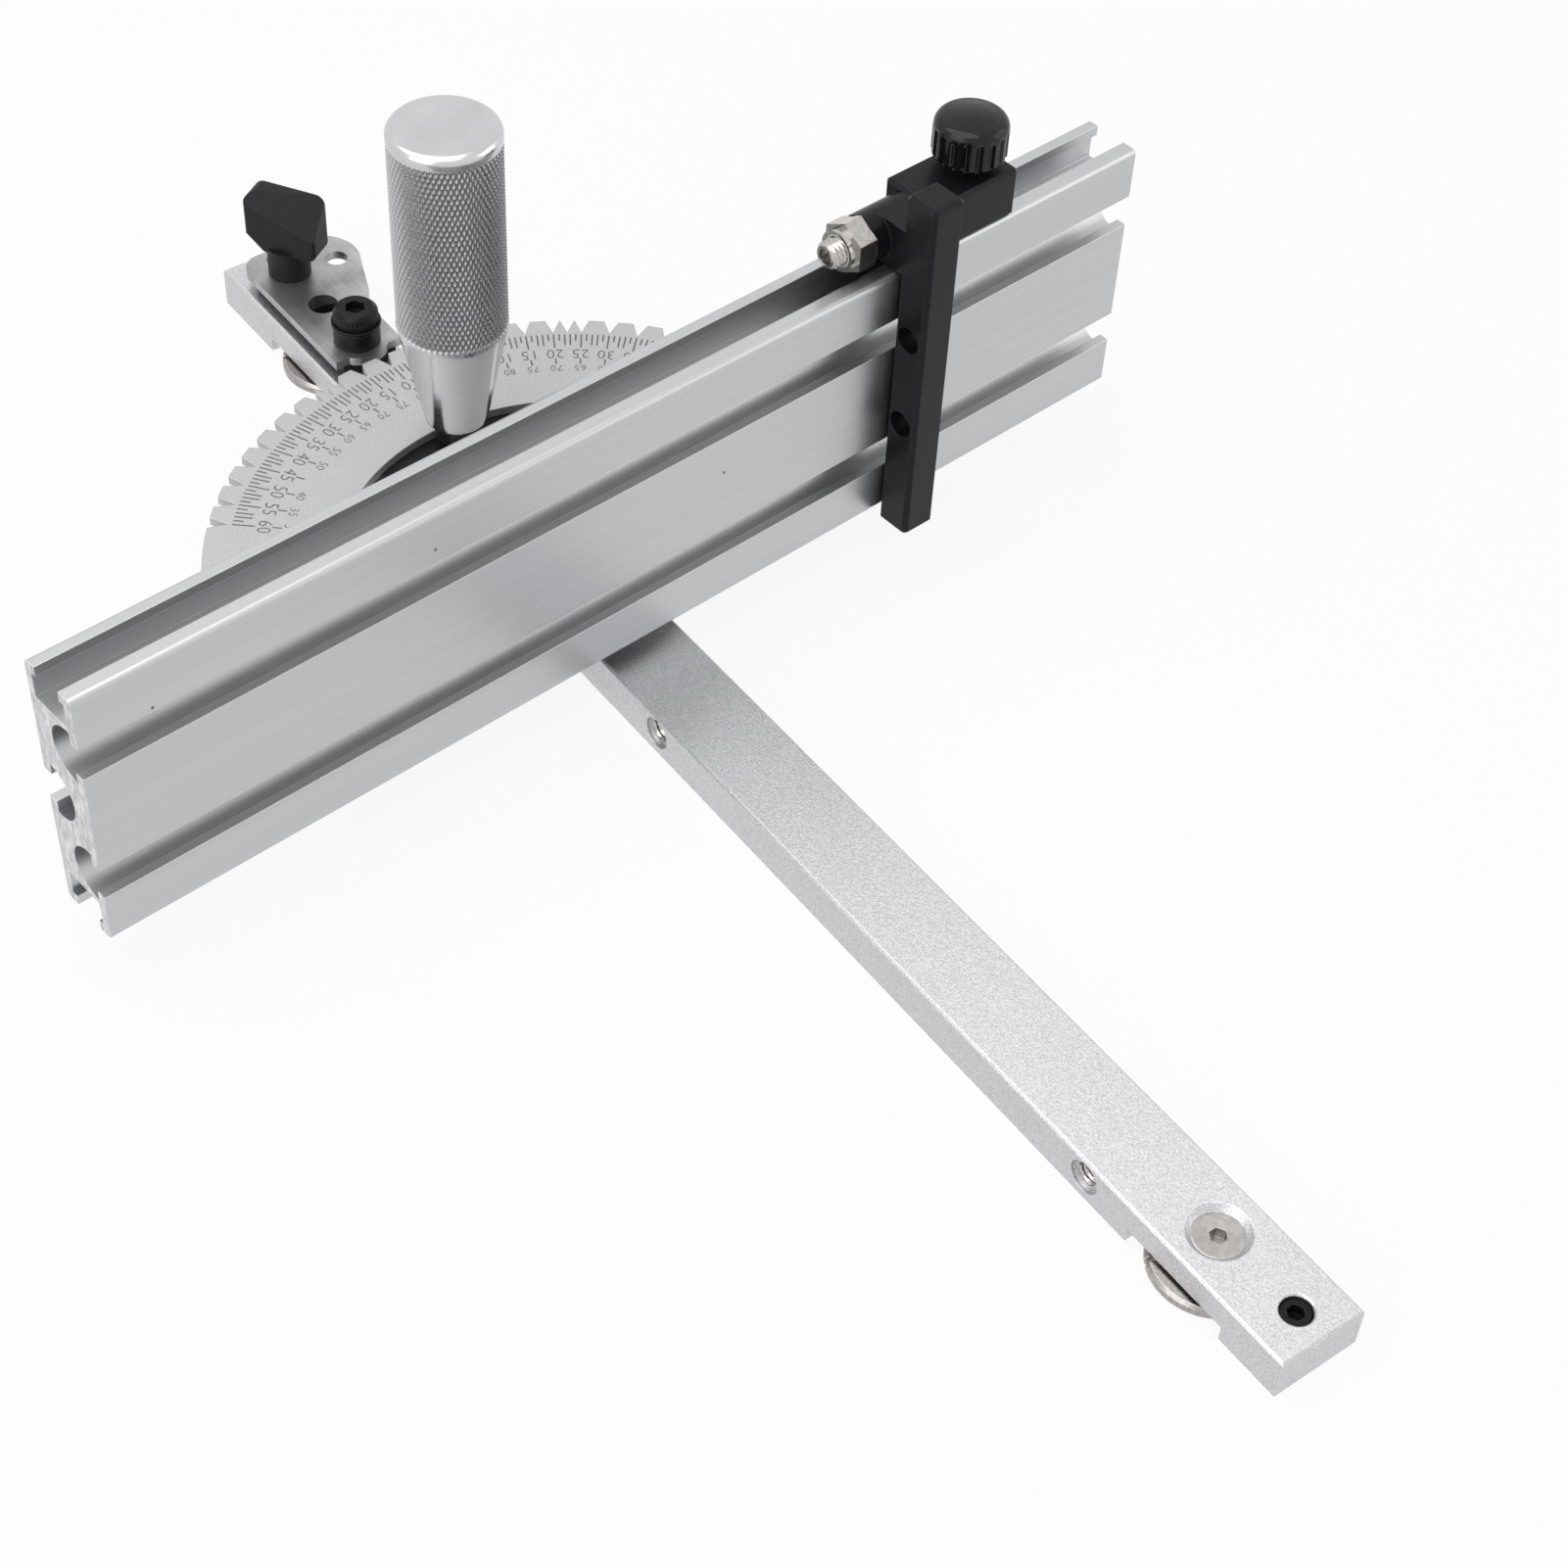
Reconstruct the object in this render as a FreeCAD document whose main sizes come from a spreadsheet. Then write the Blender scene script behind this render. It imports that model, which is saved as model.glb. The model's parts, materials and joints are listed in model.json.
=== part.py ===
import FreeCAD
import Part
import Sketcher
import math
import os

# Miter gauge: a bar that slides in a table slot, a toothed protractor head that swings on it,
# an extruded fence bolted to the head, and a flip stop on the fence. Millimetres and degrees.
# The origin is the pivot axis at the bar's underside, +X runs along the fence, +Y to the user
# and +Z up. The bar lies turned by bar_turn from the fence's square position, as it is set.
SIZES = {
    # Bar
    "bar_width": 19.0,
    "bar_height": 9.5,
    "bar_front": 225.4,
    "bar_behind_wing": 14.4,
    "bar_turn": 5.0,
    "bar_edge": 0.5,
    "side_hole_inset": 50.4,
    "side_hole_rear": 43.5,
    "side_hole_height": 5.2,
    "side_hole_depth": 8.0,
    "side_hole_diameter": 5.2,
    "side_hole_mouth": 7.0,
    "end_screw_inset": 6.8,
    "end_screw_length": 7.0,
    "end_screw_recess": 0.8,
    "end_hole_flare": 0.35,
    "end_screw_point": 0.8,
    "end_screw_rim": 0.4,
    # Retaining discs and their screws
    "disc_diameter": 24.0,
    "disc_thickness": 2.6,
    "disc_rim": 0.6,
    "disc_slit": 0.9,
    "disc_pocket_gap": 0.5,
    "disc_pocket_depth": 3.4,
    "disc_inset": 26.25,
    "disc_from_wing": 18.8,
    "disc_slit_turn": 150.0,
    "disc_screw_head": 9.8,
    "disc_screw_shank": 5.0,
    "disc_screw_socket": 3.0,
    "countersink_mouth": 12.3,
    "screw_foot": 0.5,
    # Threads, sockets and clearances
    "stud_diameter": 6.0,
    "socket_depth": 2.4,
    "stud_socket": 3.0,
    "fit_gap": 0.05,
    "slide_gap": 0.3,
    "stud_foot": 1.0,
    "overcut": 1.0,
    # Pivot
    "pivot_flange": 22.0,
    "pivot_boss": 12.0,
    "pivot_shank": 8.0,
    "pivot_head": 16.0,
    "pivot_head_height": 2.6,
    "pivot_socket": 5.0,
    "pivot_head_rim": 0.9,
    "pivot_head_crown": 4.4,
    "pivot_play": 0.1,
    # Clamp pad under the head
    "pad_inward": 8.8,
    "pad_outward": 11.2,
    "pad_half_angle": 24.0,
    # Protractor plate
    "plate_lift": 5.1,
    "plate_thickness": 2.0,
    "plate_radius": 75.6,
    "plate_offset": 15.0,
    "notch_depth": 4.2,
    "notch_half_angle": 20.5,
    "notch_pitch": 5.0,
    "notch_reach": 60.0,
    "extra_notch": 22.5,
    "slot_radius": 44.8,
    "slot_half_angle": 64.0,
    # Fence bracket and its fasteners
    "bracket_half": 34.0,
    "bracket_depth": 21.1,
    "bracket_above_bolt": 10.55,
    "bracket_base": 3.0,
    "bracket_leg": 4.0,
    "bracket_hole_gap": 2.0,
    "bracket_bend": 3.0,
    "bracket_screw_inset": 7.0,
    "bracket_screw_back": 2.0,
    "bracket_screw_shank": 4.0,
    "bracket_screw_head": 7.6,
    "bracket_screw_rise": 2.2,
    "bracket_screw_rim": 0.8,
    "bracket_screw_crown": 2.3,
    "bracket_screw_socket": 2.5,
    "bolt_half": 22.0,
    "bolt_head_wall": 2.0,
    "bolt_head_thickness": 3.4,
    "bolt_washer": 12.0,
    "bolt_washer_thickness": 1.4,
    "bolt_nut_height": 5.0,
    "bolt_tail": 1.0,
    # Fence extrusion
    "fence_length": 257.2,
    "fence_thickness": 14.2,
    "fence_height": 60.9,
    "fence_back": 12.1,
    "fence_lift": 3.5,
    "fence_corner": 1.2,
    "slot_lip": 2.2,
    "slot_play": 0.6,
    "slot_head_room": 2.5,
    "slot_wall": 0.45,
    "slot_web": 0.8,
    "top_slot_play": 0.725,
    "top_slot_undercut": 1.3,
    "top_slot_depth": 8.0,
    "top_slot_shift": 0.325,
    # Lock handle
    "handle_washer": 9.6,
    "handle_washer_thickness": 2.7,
    "handle_height": 74.8,
    "handle_foot_radius": 4.87,
    "handle_neck_radius": 6.72,
    "handle_neck_height": 2.2,
    "handle_grip_height": 27.2,
    "handle_radius": 11.7,
    "handle_rim": 1.8,
    "handle_stud_shank": 5.8,
    "handle_bore_depth": 17.6,
    # Index plate, its pin and its wing knob
    "index_spacer_height": 2.8,
    "index_spacer_wall": 0.45,
    "index_thickness": 2.0,
    "index_inset": 1.2,
    "index_before_pin": 4.9,
    "index_behind_pin": 38.3,
    "index_stop_gap": 0.4,
    "index_corner": 5.0,
    "index_travel": 5.0,
    "bump_radius": 6.9,
    "pin_radius": 5.2,
    "pin_rim": 0.3,
    "pin_ring": 0.9,
    "pin_ring_slope": 0.3,
    "pin_height": 5.3,
    "pin_screw_head": 10.0,
    "pin_screw_rise": 3.5,
    "pin_screw_chamfer": 1.0,
    "pin_screw_socket": 4.2,
    "access_hole": 6.7,
    "access_from_pin": 14.7,
    "ear_out": 7.5,
    "ear_angle": 30.0,
    "ear_radius": 9.3,
    "ear_hole": 5.0,
    "ear_hole_outward": 3.6,
    "ear_hole_forward": 1.4,
    "waist_outward": 2.6,
    "waist_from_pin": 12.8,
    "wing_from_pin": 29.3,
    "wing_stud": 5.0,
    "wing_base": 9.6,
    "wing_base_height": 7.5,
    "wing_height": 20.7,
    "wing_half_span": 8.6,
    "wing_thickness": 7.2,
    "wing_corner": 2.4,
    "wing_left_rise": 2.6,
    "wing_edge": 0.8,
    "wing_slant": 19.8,
    "wing_crease": 15.1,
    "wing_face_rise": 8.8,
    "wing_turn": 57.0,
    "wing_stud_end": 2.0,
    # Flip stop
    "stop_from_end": 59.0,
    "stop_length": 23.4,
    "stop_depth": 14.4,
    "stop_edge": 0.8,
    "hinge_back": 18.7,
    "barrel_lift": 0.45,
    "barrel_radius": 5.2,
    "barrel_length": 12.4,
    "barrel_gap": 0.2,
    "arm_width": 8.5,
    "arm_depth": 8.4,
    "arm_gap": 0.2,
    "arm_below_fence": 2.7,
    "arm_above_fence": 19.3,
    "arm_lug_bite": 2.0,
    "arm_edge": 1.0,
    "arm_hole": 6.0,
    "arm_hole_high": 13.8,
    "arm_hole_low": 35.4,
    "hinge_stud_out": 9.0,
    "hinge_stud_in": 9.0,
    "hinge_stud_chamfer": 0.6,
    "nut_wall": 2.0,
    "nut_height": 6.0,
    "nut_collar": 1.6,
    "nut_collar_wall": 0.7,
    "nut_insert_sink": 0.2,
    "knob_from_arm": 16.1,
    "knob_neck": 9.5,
    "knob_neck_height": 2.6,
    "knob_radius": 7.7,
    "knob_skirt": 8.2,
    "knob_dome": 1.3,
    "knob_flute": 1.0,
    "knob_flute_out": 0.45,
    "knob_flutes": 18.0,
    "stop_nut_length": 16.0,
    "stop_nut_height": 3.6,
    "stop_nut_gap": 0.35,
}


class Size:
    """A number together with the sheet formula that gives it."""

    def __init__(self, number, formula):
        self.number = number
        self.formula = formula

    def __add__(self, other):
        other = sized(other)
        return Size(self.number + other.number, f"({self.formula} + {other.formula})")

    def __sub__(self, other):
        other = sized(other)
        return Size(self.number - other.number, f"({self.formula} - {other.formula})")

    def __mul__(self, other):
        other = sized(other)
        return Size(self.number * other.number, f"({self.formula} * {other.formula})")

    def __truediv__(self, other):
        other = sized(other)
        return Size(self.number / other.number, f"({self.formula} / {other.formula})")

    def __neg__(self):
        return Size(-self.number, f"(0 - {self.formula})")

    def __radd__(self, other):
        return sized(other) + self

    def __rsub__(self, other):
        return sized(other) - self

    def __rmul__(self, other):
        return sized(other) * self


def sized(value):
    """Gives a plain number the same form as a size from the sheet."""
    return value if isinstance(value, Size) else Size(float(value), repr(float(value)))


def sine(angle):
    return Size(math.sin(math.radians(angle.number)), f"sin({angle.formula})")


def cosine(angle):
    return Size(math.cos(math.radians(angle.number)), f"cos({angle.formula})")


def tangent(angle):
    return Size(math.tan(math.radians(angle.number)), f"tan({angle.formula})")


def root(square):
    return Size(math.sqrt(square.number), f"sqrt({square.formula})")


doc = FreeCAD.newDocument("MiterGauge")
sheet = doc.addObject("Spreadsheet::Sheet", "Sizes")
for row, (alias, value) in enumerate(SIZES.items(), start=1):
    sheet.set(f"A{row}", alias)
    sheet.set(f"B{row}", str(value))
    sheet.setAlias(f"B{row}", alias)
doc.recompute()


class Sheet:
    """Gives each aliased cell of the sheet as a Size."""

    def __getattr__(self, alias):
        return Size(float(sheet.get(alias)), f"Sizes.{alias}")


v = Sheet()
NODES = []


def bind(item, name, value):
    """Binds one property of an object to the formula of a size."""
    item.setExpression(name, sized(value).formula)


def place(item, x=0.0, y=0.0, z=0.0, turn=0.0, tip=None, along_bar=False):
    """Places a piece: tipped about an axis first, turned about Z next, then moved.

    Along the bar, the place is across and along the bar, and the whole is turned with it.
    """
    x, y, z, turn = sized(x), sized(y), sized(z), sized(turn)
    spin = f"rotation(vector(0; 0; 1); {turn.formula})"
    formula = f"placement(vector({x.formula}; {y.formula}; {z.formula}); {spin})"
    if tip is not None:
        axis, angle = tip
        lay = f"rotation(vector({axis[0]}; {axis[1]}; {axis[2]}); {angle})"
        formula = f"{formula} * placement(vector(0; 0; 0); {lay})"
    if along_bar:
        swing = f"rotation(vector(0; 0; 1); {(-v.bar_turn).formula})"
        formula = f"placement(vector(0; 0; 0); {swing}) * {formula}"
    item.setExpression("Placement", formula)


def new_body(label):
    body = doc.addObject("PartDesign::Body", label)
    body.Label = label
    return body


def node(item, label):
    """Names a finished sub-part and lists it for writing."""
    item.Label = label
    NODES.append(item)
    return item


def new_sketch(body, role, offset=0.0):
    """Sketch on one of the body's own origin planes, moved along the plane's normal."""
    sketch = body.newObject("Sketcher::SketchObject", f"{body.Label}_sketch")
    plane = [item for item in body.Origin.OriginFeatures if item.Role == role][0]
    sketch.AttachmentSupport = [(plane, "")]
    sketch.MapMode = "FlatFace"
    bind(sketch, "AttachmentOffset.Base.z", offset)
    return sketch


def hold(sketch, kind, geometry, point, value):
    """Dimension from the sketch's origin to a point, bound to a size."""
    value = sized(value)
    rule = Sketcher.Constraint(kind, -1, 1, geometry, point, value.number)
    index = sketch.addConstraint(rule)
    sketch.setExpression(f"Constraints[{index}]", value.formula)


def arc(x, y, left=True):
    """Marks the side between two corners as an arc about a centre."""
    return {"centre": (sized(x), sized(y)), "left": left}


def outline(sketch, path):
    """Closed outline of straight sides and arcs, every corner dimensioned from the origin."""
    corners = []
    arcs = []
    for step in path:
        if isinstance(step, dict):
            arcs[-1] = step
        else:
            corners.append((sized(step[0]), sized(step[1])))
            arcs.append(None)
    sides = []
    for index, start in enumerate(corners):
        end = corners[(index + 1) % len(corners)]
        first = FreeCAD.Vector(start[0].number, start[1].number, 0)
        last = FreeCAD.Vector(end[0].number, end[1].number, 0)
        bend = arcs[index]
        if bend is None:
            sides.append((sketch.addGeometry(Part.LineSegment(first, last), False), 1, 2))
            continue
        centre = FreeCAD.Vector(bend["centre"][0].number, bend["centre"][1].number, 0)
        circle = Part.Circle(centre, FreeCAD.Vector(0, 0, 1), (first - centre).Length)
        ends = (first, last) if bend["left"] else (last, first)
        angles = [math.atan2(end.y - centre.y, end.x - centre.x) for end in ends]
        if angles[1] <= angles[0]:
            angles[1] += 2 * math.pi
        curve = Part.ArcOfCircle(circle, angles[0], angles[1])
        order = (1, 2) if bend["left"] else (2, 1)
        sides.append((sketch.addGeometry(curve, False), *order))
    for index, (side, begin, finish) in enumerate(sides):
        following = sides[(index + 1) % len(sides)]
        join = Sketcher.Constraint("Coincident", side, finish, following[0], following[1])
        sketch.addConstraint(join)
        hold(sketch, "DistanceX", side, begin, corners[index][0])
        hold(sketch, "DistanceY", side, begin, corners[index][1])
    for index, bend in enumerate(arcs):
        if bend is None:
            continue
        start = corners[index]
        end = corners[(index + 1) % len(corners)]
        across = abs(end[0].number - start[0].number)
        along = abs(end[1].number - start[1].number)
        kind, value = ("DistanceX", 0) if across < along else ("DistanceY", 1)
        hold(sketch, kind, sides[index][0], 3, bend["centre"][value])
    return sketch


def circle(sketch, x, y, radius):
    x, y, radius = sized(x), sized(y), sized(radius)
    centre = FreeCAD.Vector(x.number, y.number, 0)
    ring = Part.Circle(centre, FreeCAD.Vector(0, 0, 1), radius.number)
    index = sketch.addGeometry(ring, False)
    hold(sketch, "DistanceX", index, 3, x)
    hold(sketch, "DistanceY", index, 3, y)
    rule = sketch.addConstraint(Sketcher.Constraint("Radius", index, radius.number))
    sketch.setExpression(f"Constraints[{rule}]", radius.formula)
    return sketch


def box_path(x_low, x_high, y_low, y_high):
    return [(x_low, y_low), (x_high, y_low), (x_high, y_high), (x_low, y_high)]


def hexagon(across, x=0.0, y=0.0):
    """Six corners of a hexagon with two flats square to the sketch's vertical axis."""
    reach = sized(across) / cosine(sized(30.0)) / 2
    corners = [sized(60.0 * index) for index in range(6)]
    return [(x + reach * cosine(turn), y + reach * sine(turn)) for turn in corners]


def pad(body, sketch, length, middle=False):
    feature = body.newObject("PartDesign::Pad", f"{body.Label}_pad")
    feature.Profile = sketch
    bind(feature, "Length", length)
    if middle:
        feature.SideType = "Symmetric"
    doc.recompute()
    return feature


def cut(body, sketch, depth, middle=False, reverse=False):
    """Pocket of a given depth; stops where it takes nothing away."""
    before = body.Shape.Volume
    feature = body.newObject("PartDesign::Pocket", f"{body.Label}_pocket")
    feature.Profile = sketch
    feature.Reversed = reverse
    bind(feature, "Length", depth)
    if middle:
        feature.SideType = "Symmetric"
    doc.recompute()
    if body.Shape.Volume > before - 1e-6:
        raise RuntimeError(f"{body.Label}: a pocket takes nothing away")
    return feature


def pattern(body, feature, angle, count, about="Z_Axis"):
    """Repeats a feature round one of the body's axes."""
    ring = body.newObject("PartDesign::PolarPattern", f"{body.Label}_pattern")
    ring.Originals = [feature]
    axis = [item for item in body.Origin.OriginFeatures if item.Role == about][0]
    ring.Axis = (axis, [""])
    bind(ring, "Angle", angle)
    ring.Occurrences = count
    body.Tip = ring
    doc.recompute()
    return ring


def turned(body, path, angle=360.0):
    """Turned form about Z: the path gives radius and height."""
    sketch = outline(new_sketch(body, "XZ_Plane"), path)
    feature = body.newObject("PartDesign::Revolution", f"{body.Label}_turning")
    feature.Profile = sketch
    feature.ReferenceAxis = (sketch, ["V_Axis"])
    feature.Angle = angle
    doc.recompute()
    return feature


def edges_where(shape, test):
    """Names of the shape's edges whose two ends and length pass a test."""
    names = []
    for index, edge in enumerate(shape.Edges, start=1):
        if len(edge.Vertexes) == 2:
            first, last = edge.Vertexes[0].Point, edge.Vertexes[1].Point
            if test(first, last):
                names.append(f"Edge{index}")
    return names


def soften(body, base, names, kind, size):
    """Rounds or chamfers named edges of the last feature."""
    feature = body.newObject(f"PartDesign::{kind}", f"{body.Label}_{kind.lower()}")
    feature.Base = (base, names)
    bind(feature, "Radius" if kind == "Fillet" else "Size", size)
    body.Tip = feature
    doc.recompute()
    return feature


def same(first, second, axes):
    """True where two points agree on the given axes."""
    return all(abs(first[axis] - second[axis]) < 1e-4 for axis in axes)


def hex_socket(body, across, top, depth):
    """Hexagon socket cut down from a top face on the body's axis."""
    cut(body, outline(new_sketch(body, "XY_Plane", top), hexagon(across)), depth)


def pair(item, label):
    """A piece and its mirror image across the head's middle, as one node of two solids."""
    twin = doc.addObject("Part::Mirroring", f"{label}_twin")
    twin.Source = item
    twin.Normal = (1, 0, 0)
    both = doc.addObject("Part::Compound", label)
    both.Links = [item, twin]
    return node(both, label)


# Heights and places that several pieces share
bar_top = v.bar_height
plate_bottom = bar_top + v.plate_lift
plate_top = plate_bottom + v.plate_thickness
fence_bottom = bar_top + v.fence_lift
fence_top = fence_bottom + v.fence_height
fence_front = v.fence_back + v.fence_thickness
stud_hole = v.stud_diameter / 2 + v.fit_gap
index_bottom = bar_top + v.index_spacer_height
index_top = index_bottom + v.index_thickness
pin_place = v.plate_radius + v.pin_radius + v.index_travel + v.index_stop_gap
index_back = pin_place + v.index_behind_pin
wing_place = pin_place + v.wing_from_pin
wing_hole = v.wing_stud / 2 + v.fit_gap
bar_back = wing_place + v.bar_behind_wing
disc_rear = wing_place - v.disc_from_wing
disc_front = v.bar_front - v.disc_inset
end_screw_place = v.bar_front - v.end_screw_inset
handle_hole = v.handle_stud_shank / 2 + v.fit_gap
bolt_head = v.stud_diameter + v.bolt_head_wall * 2
slot_chord = bolt_head + v.slot_head_room
slot_inset = v.top_slot_depth + slot_chord / 2 + v.slot_web
bolt_height = fence_bottom + v.fence_height / 2
bracket_screw_half = v.bracket_half - v.bracket_screw_inset
top_slot_half = v.stud_diameter / 2 + v.top_slot_play
top_slot_middle = v.top_slot_shift - v.fence_back - v.fence_thickness / 2
stop_x = v.fence_length / 2 - v.stop_from_end
knob_x = stop_x + v.knob_from_arm
hinge_z = fence_top + v.barrel_radius + v.barrel_lift
stop_top = hinge_z + v.barrel_radius + v.barrel_lift
hinge_low = stop_x - v.barrel_gap - v.barrel_length


def make_bar():
    """Flat bar with milled disc pockets, countersunk holes and threaded holes."""
    body = new_body("miter_bar")
    half = v.bar_width / 2
    sketch = outline(new_sketch(body, "XY_Plane"), box_path(-half, half, -v.bar_front, bar_back))
    base = pad(body, sketch, v.bar_height)
    top = v.bar_height.number
    names = edges_where(base.Shape, lambda a, b: abs(a.z - top) < 1e-4 and abs(b.z - top) < 1e-4)
    soften(body, base, names, "Chamfer", v.bar_edge)
    side = half + v.overcut
    reach = (v.disc_diameter + v.disc_pocket_gap) / 2
    for middle in (-disc_front, disc_rear):
        path = box_path(-side, side, middle - reach, middle + reach)
        cut(body, outline(new_sketch(body, "XY_Plane"), path), v.disc_pocket_depth, reverse=True)
        hole = v.disc_screw_shank / 2 + v.fit_gap
        cut(body, circle(new_sketch(body, "XY_Plane", bar_top), 0, middle, hole), bar_top)
        flare(body, middle, v.countersink_mouth / 2, hole, v.countersink_mouth / 2 - hole)
    cut(body, circle(new_sketch(body, "XY_Plane", bar_top), 0, -end_screw_place, stud_hole), bar_top)
    flare(body, -end_screw_place, stud_hole + v.end_hole_flare, stud_hole, v.end_hole_flare)
    for radius, along in ((v.pivot_shank / 2 + v.fit_gap, 0.0), (handle_hole, v.slot_radius),
                          (wing_hole, wing_place)):
        cut(body, circle(new_sketch(body, "XY_Plane", bar_top), 0, along, radius), bar_top)
    for along in (v.side_hole_inset - v.bar_front, -v.side_hole_rear):
        side = new_sketch(body, "YZ_Plane", -half)
        circle(side, along, v.side_hole_height, v.side_hole_diameter / 2)
        cut(body, side, v.side_hole_depth, reverse=True)
        mouth = new_sketch(body, "YZ_Plane", -half)
        circle(mouth, along, v.side_hole_height, v.side_hole_mouth / 2)
        cut(body, mouth, (v.side_hole_mouth - v.side_hole_diameter) / 2, reverse=True)
    place(body, along_bar=True)
    return node(body, "miter_bar")


def flare(body, along, mouth, hole, depth):
    """Conical mouth of a hole in the bar's top, cut by turning a triangle."""
    before = body.Shape.Volume
    sketch = new_sketch(body, "YZ_Plane")
    path = [(along, bar_top - depth), (along + hole, bar_top - depth),
            (along + mouth, bar_top), (along, bar_top)]
    outline(sketch, path)
    groove = body.newObject("PartDesign::Groove", f"{body.Label}_flare")
    groove.Profile = sketch
    line = sketch.addGeometry(Part.LineSegment(
        FreeCAD.Vector(along.number, 0, 0), FreeCAD.Vector(along.number, 1, 0)), True)
    hold(sketch, "DistanceX", line, 1, along)
    hold(sketch, "DistanceY", line, 1, 0.0)
    hold(sketch, "DistanceX", line, 2, along)
    hold(sketch, "DistanceY", line, 2, 1.0)
    groove.ReferenceAxis = (sketch, ["Axis0"])
    groove.Angle = 360.0
    doc.recompute()
    if body.Shape.Volume > before - 1e-6:
        raise RuntimeError(f"{body.Label}: a flare takes nothing away")


def make_disc(label, along):
    """Slit retaining disc: a chamfered rim below and a hub that meets the pocket's roof."""
    body = new_body(label)
    hole = v.disc_screw_shank / 2 + v.fit_gap
    rim = v.disc_diameter / 2
    hub = v.disc_screw_shank
    thick = v.disc_thickness
    turned(body, [(hole, 0), (rim - v.disc_rim, 0), (rim, v.disc_rim), (rim, thick - v.disc_rim),
                  (rim - v.disc_rim, thick), (hub, thick), (hub, v.disc_pocket_depth),
                  (hole, v.disc_pocket_depth)])
    slit = v.disc_slit / 2
    path = box_path(hole / 2, rim + v.overcut, -slit, slit)
    cut(body, outline(new_sketch(body, "XY_Plane"), path), v.disc_pocket_depth, reverse=True)
    place(body, 0, along, 0, turn=v.disc_slit_turn, along_bar=True)
    return node(body, label)


def make_disc_screw(label, along):
    """Countersunk socket screw, sunk in its flared hole."""
    body = new_body(label)
    shank = v.disc_screw_shank / 2
    head = v.disc_screw_head / 2
    top = bar_top - (v.countersink_mouth - v.disc_screw_head) / 2
    neck = top - (head - shank)
    foot = v.screw_foot
    turned(body, [(0, foot), (shank, foot), (shank, neck), (head, top), (0, top)])
    hex_socket(body, v.disc_screw_socket, top, v.socket_depth)
    place(body, 0, along, 0, along_bar=True)
    return node(body, label)


def make_end_screw():
    """Socket set screw in the bar's front end."""
    body = new_body("end_set_screw")
    radius = v.stud_diameter / 2
    top = bar_top - v.end_screw_recess
    low = top - v.end_screw_length
    point, rim = v.end_screw_point, v.end_screw_rim
    turned(body, [(0, low), (radius - point, low), (radius, low + point), (radius, top - rim),
                  (radius - rim, top), (0, top)])
    hex_socket(body, v.stud_socket, top, v.socket_depth)
    place(body, 0, -end_screw_place, 0, along_bar=True)
    return node(body, "end_set_screw")


def make_pivot():
    """Flanged bush that carries the head, and the button screw that keeps it down."""
    bush = new_body("pivot_bush")
    bore = v.pivot_shank / 2 + v.fit_gap
    flange, boss = v.pivot_flange / 2, v.pivot_boss / 2
    top = plate_top + v.pivot_play
    turned(bush, [(bore, bar_top), (flange, bar_top), (flange, plate_bottom), (boss, plate_bottom),
                  (boss, top), (bore, top)])
    node(bush, "pivot_bush")
    screw = new_body("pivot_screw")
    shank, head = v.pivot_shank / 2, v.pivot_head / 2
    crown = top + v.pivot_head_height
    foot = v.screw_foot
    turned(screw, [(0, foot), (shank, foot), (shank, top), (head, top),
                   (head, top + v.pivot_head_rim), (v.pivot_head_crown, crown), (0, crown)])
    hex_socket(screw, v.pivot_socket, crown, v.pivot_head_height - v.pivot_head_rim / 2)
    node(screw, "pivot_screw")


def sector_path(inner, outer, low, high):
    """Outline of a ring sector between two angles, counted from +X."""
    return [(inner * cosine(high), inner * sine(high)), arc(0, 0, left=False),
            (inner * cosine(low), inner * sine(low)),
            (outer * cosine(low), outer * sine(low)), arc(0, 0),
            (outer * cosine(high), outer * sine(high))]


def make_clamp_pad():
    """Black pad on the bar that the lock handle presses the head against."""
    body = new_body("clamp_pad")
    low, high = 90 - v.pad_half_angle, 90 + v.pad_half_angle
    sketch = outline(new_sketch(body, "XY_Plane", bar_top),
                     sector_path(v.slot_radius - v.pad_inward, v.slot_radius + v.pad_outward, low, high))
    pad(body, sketch, v.plate_lift - v.pivot_play)
    hole = v.handle_stud_shank / 2 + v.slide_gap
    top = plate_bottom - v.pivot_play
    cut(body, circle(new_sketch(body, "XY_Plane", top), 0, v.slot_radius, hole), v.plate_lift)
    place(body, along_bar=True)
    return node(body, "clamp_pad")


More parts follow.
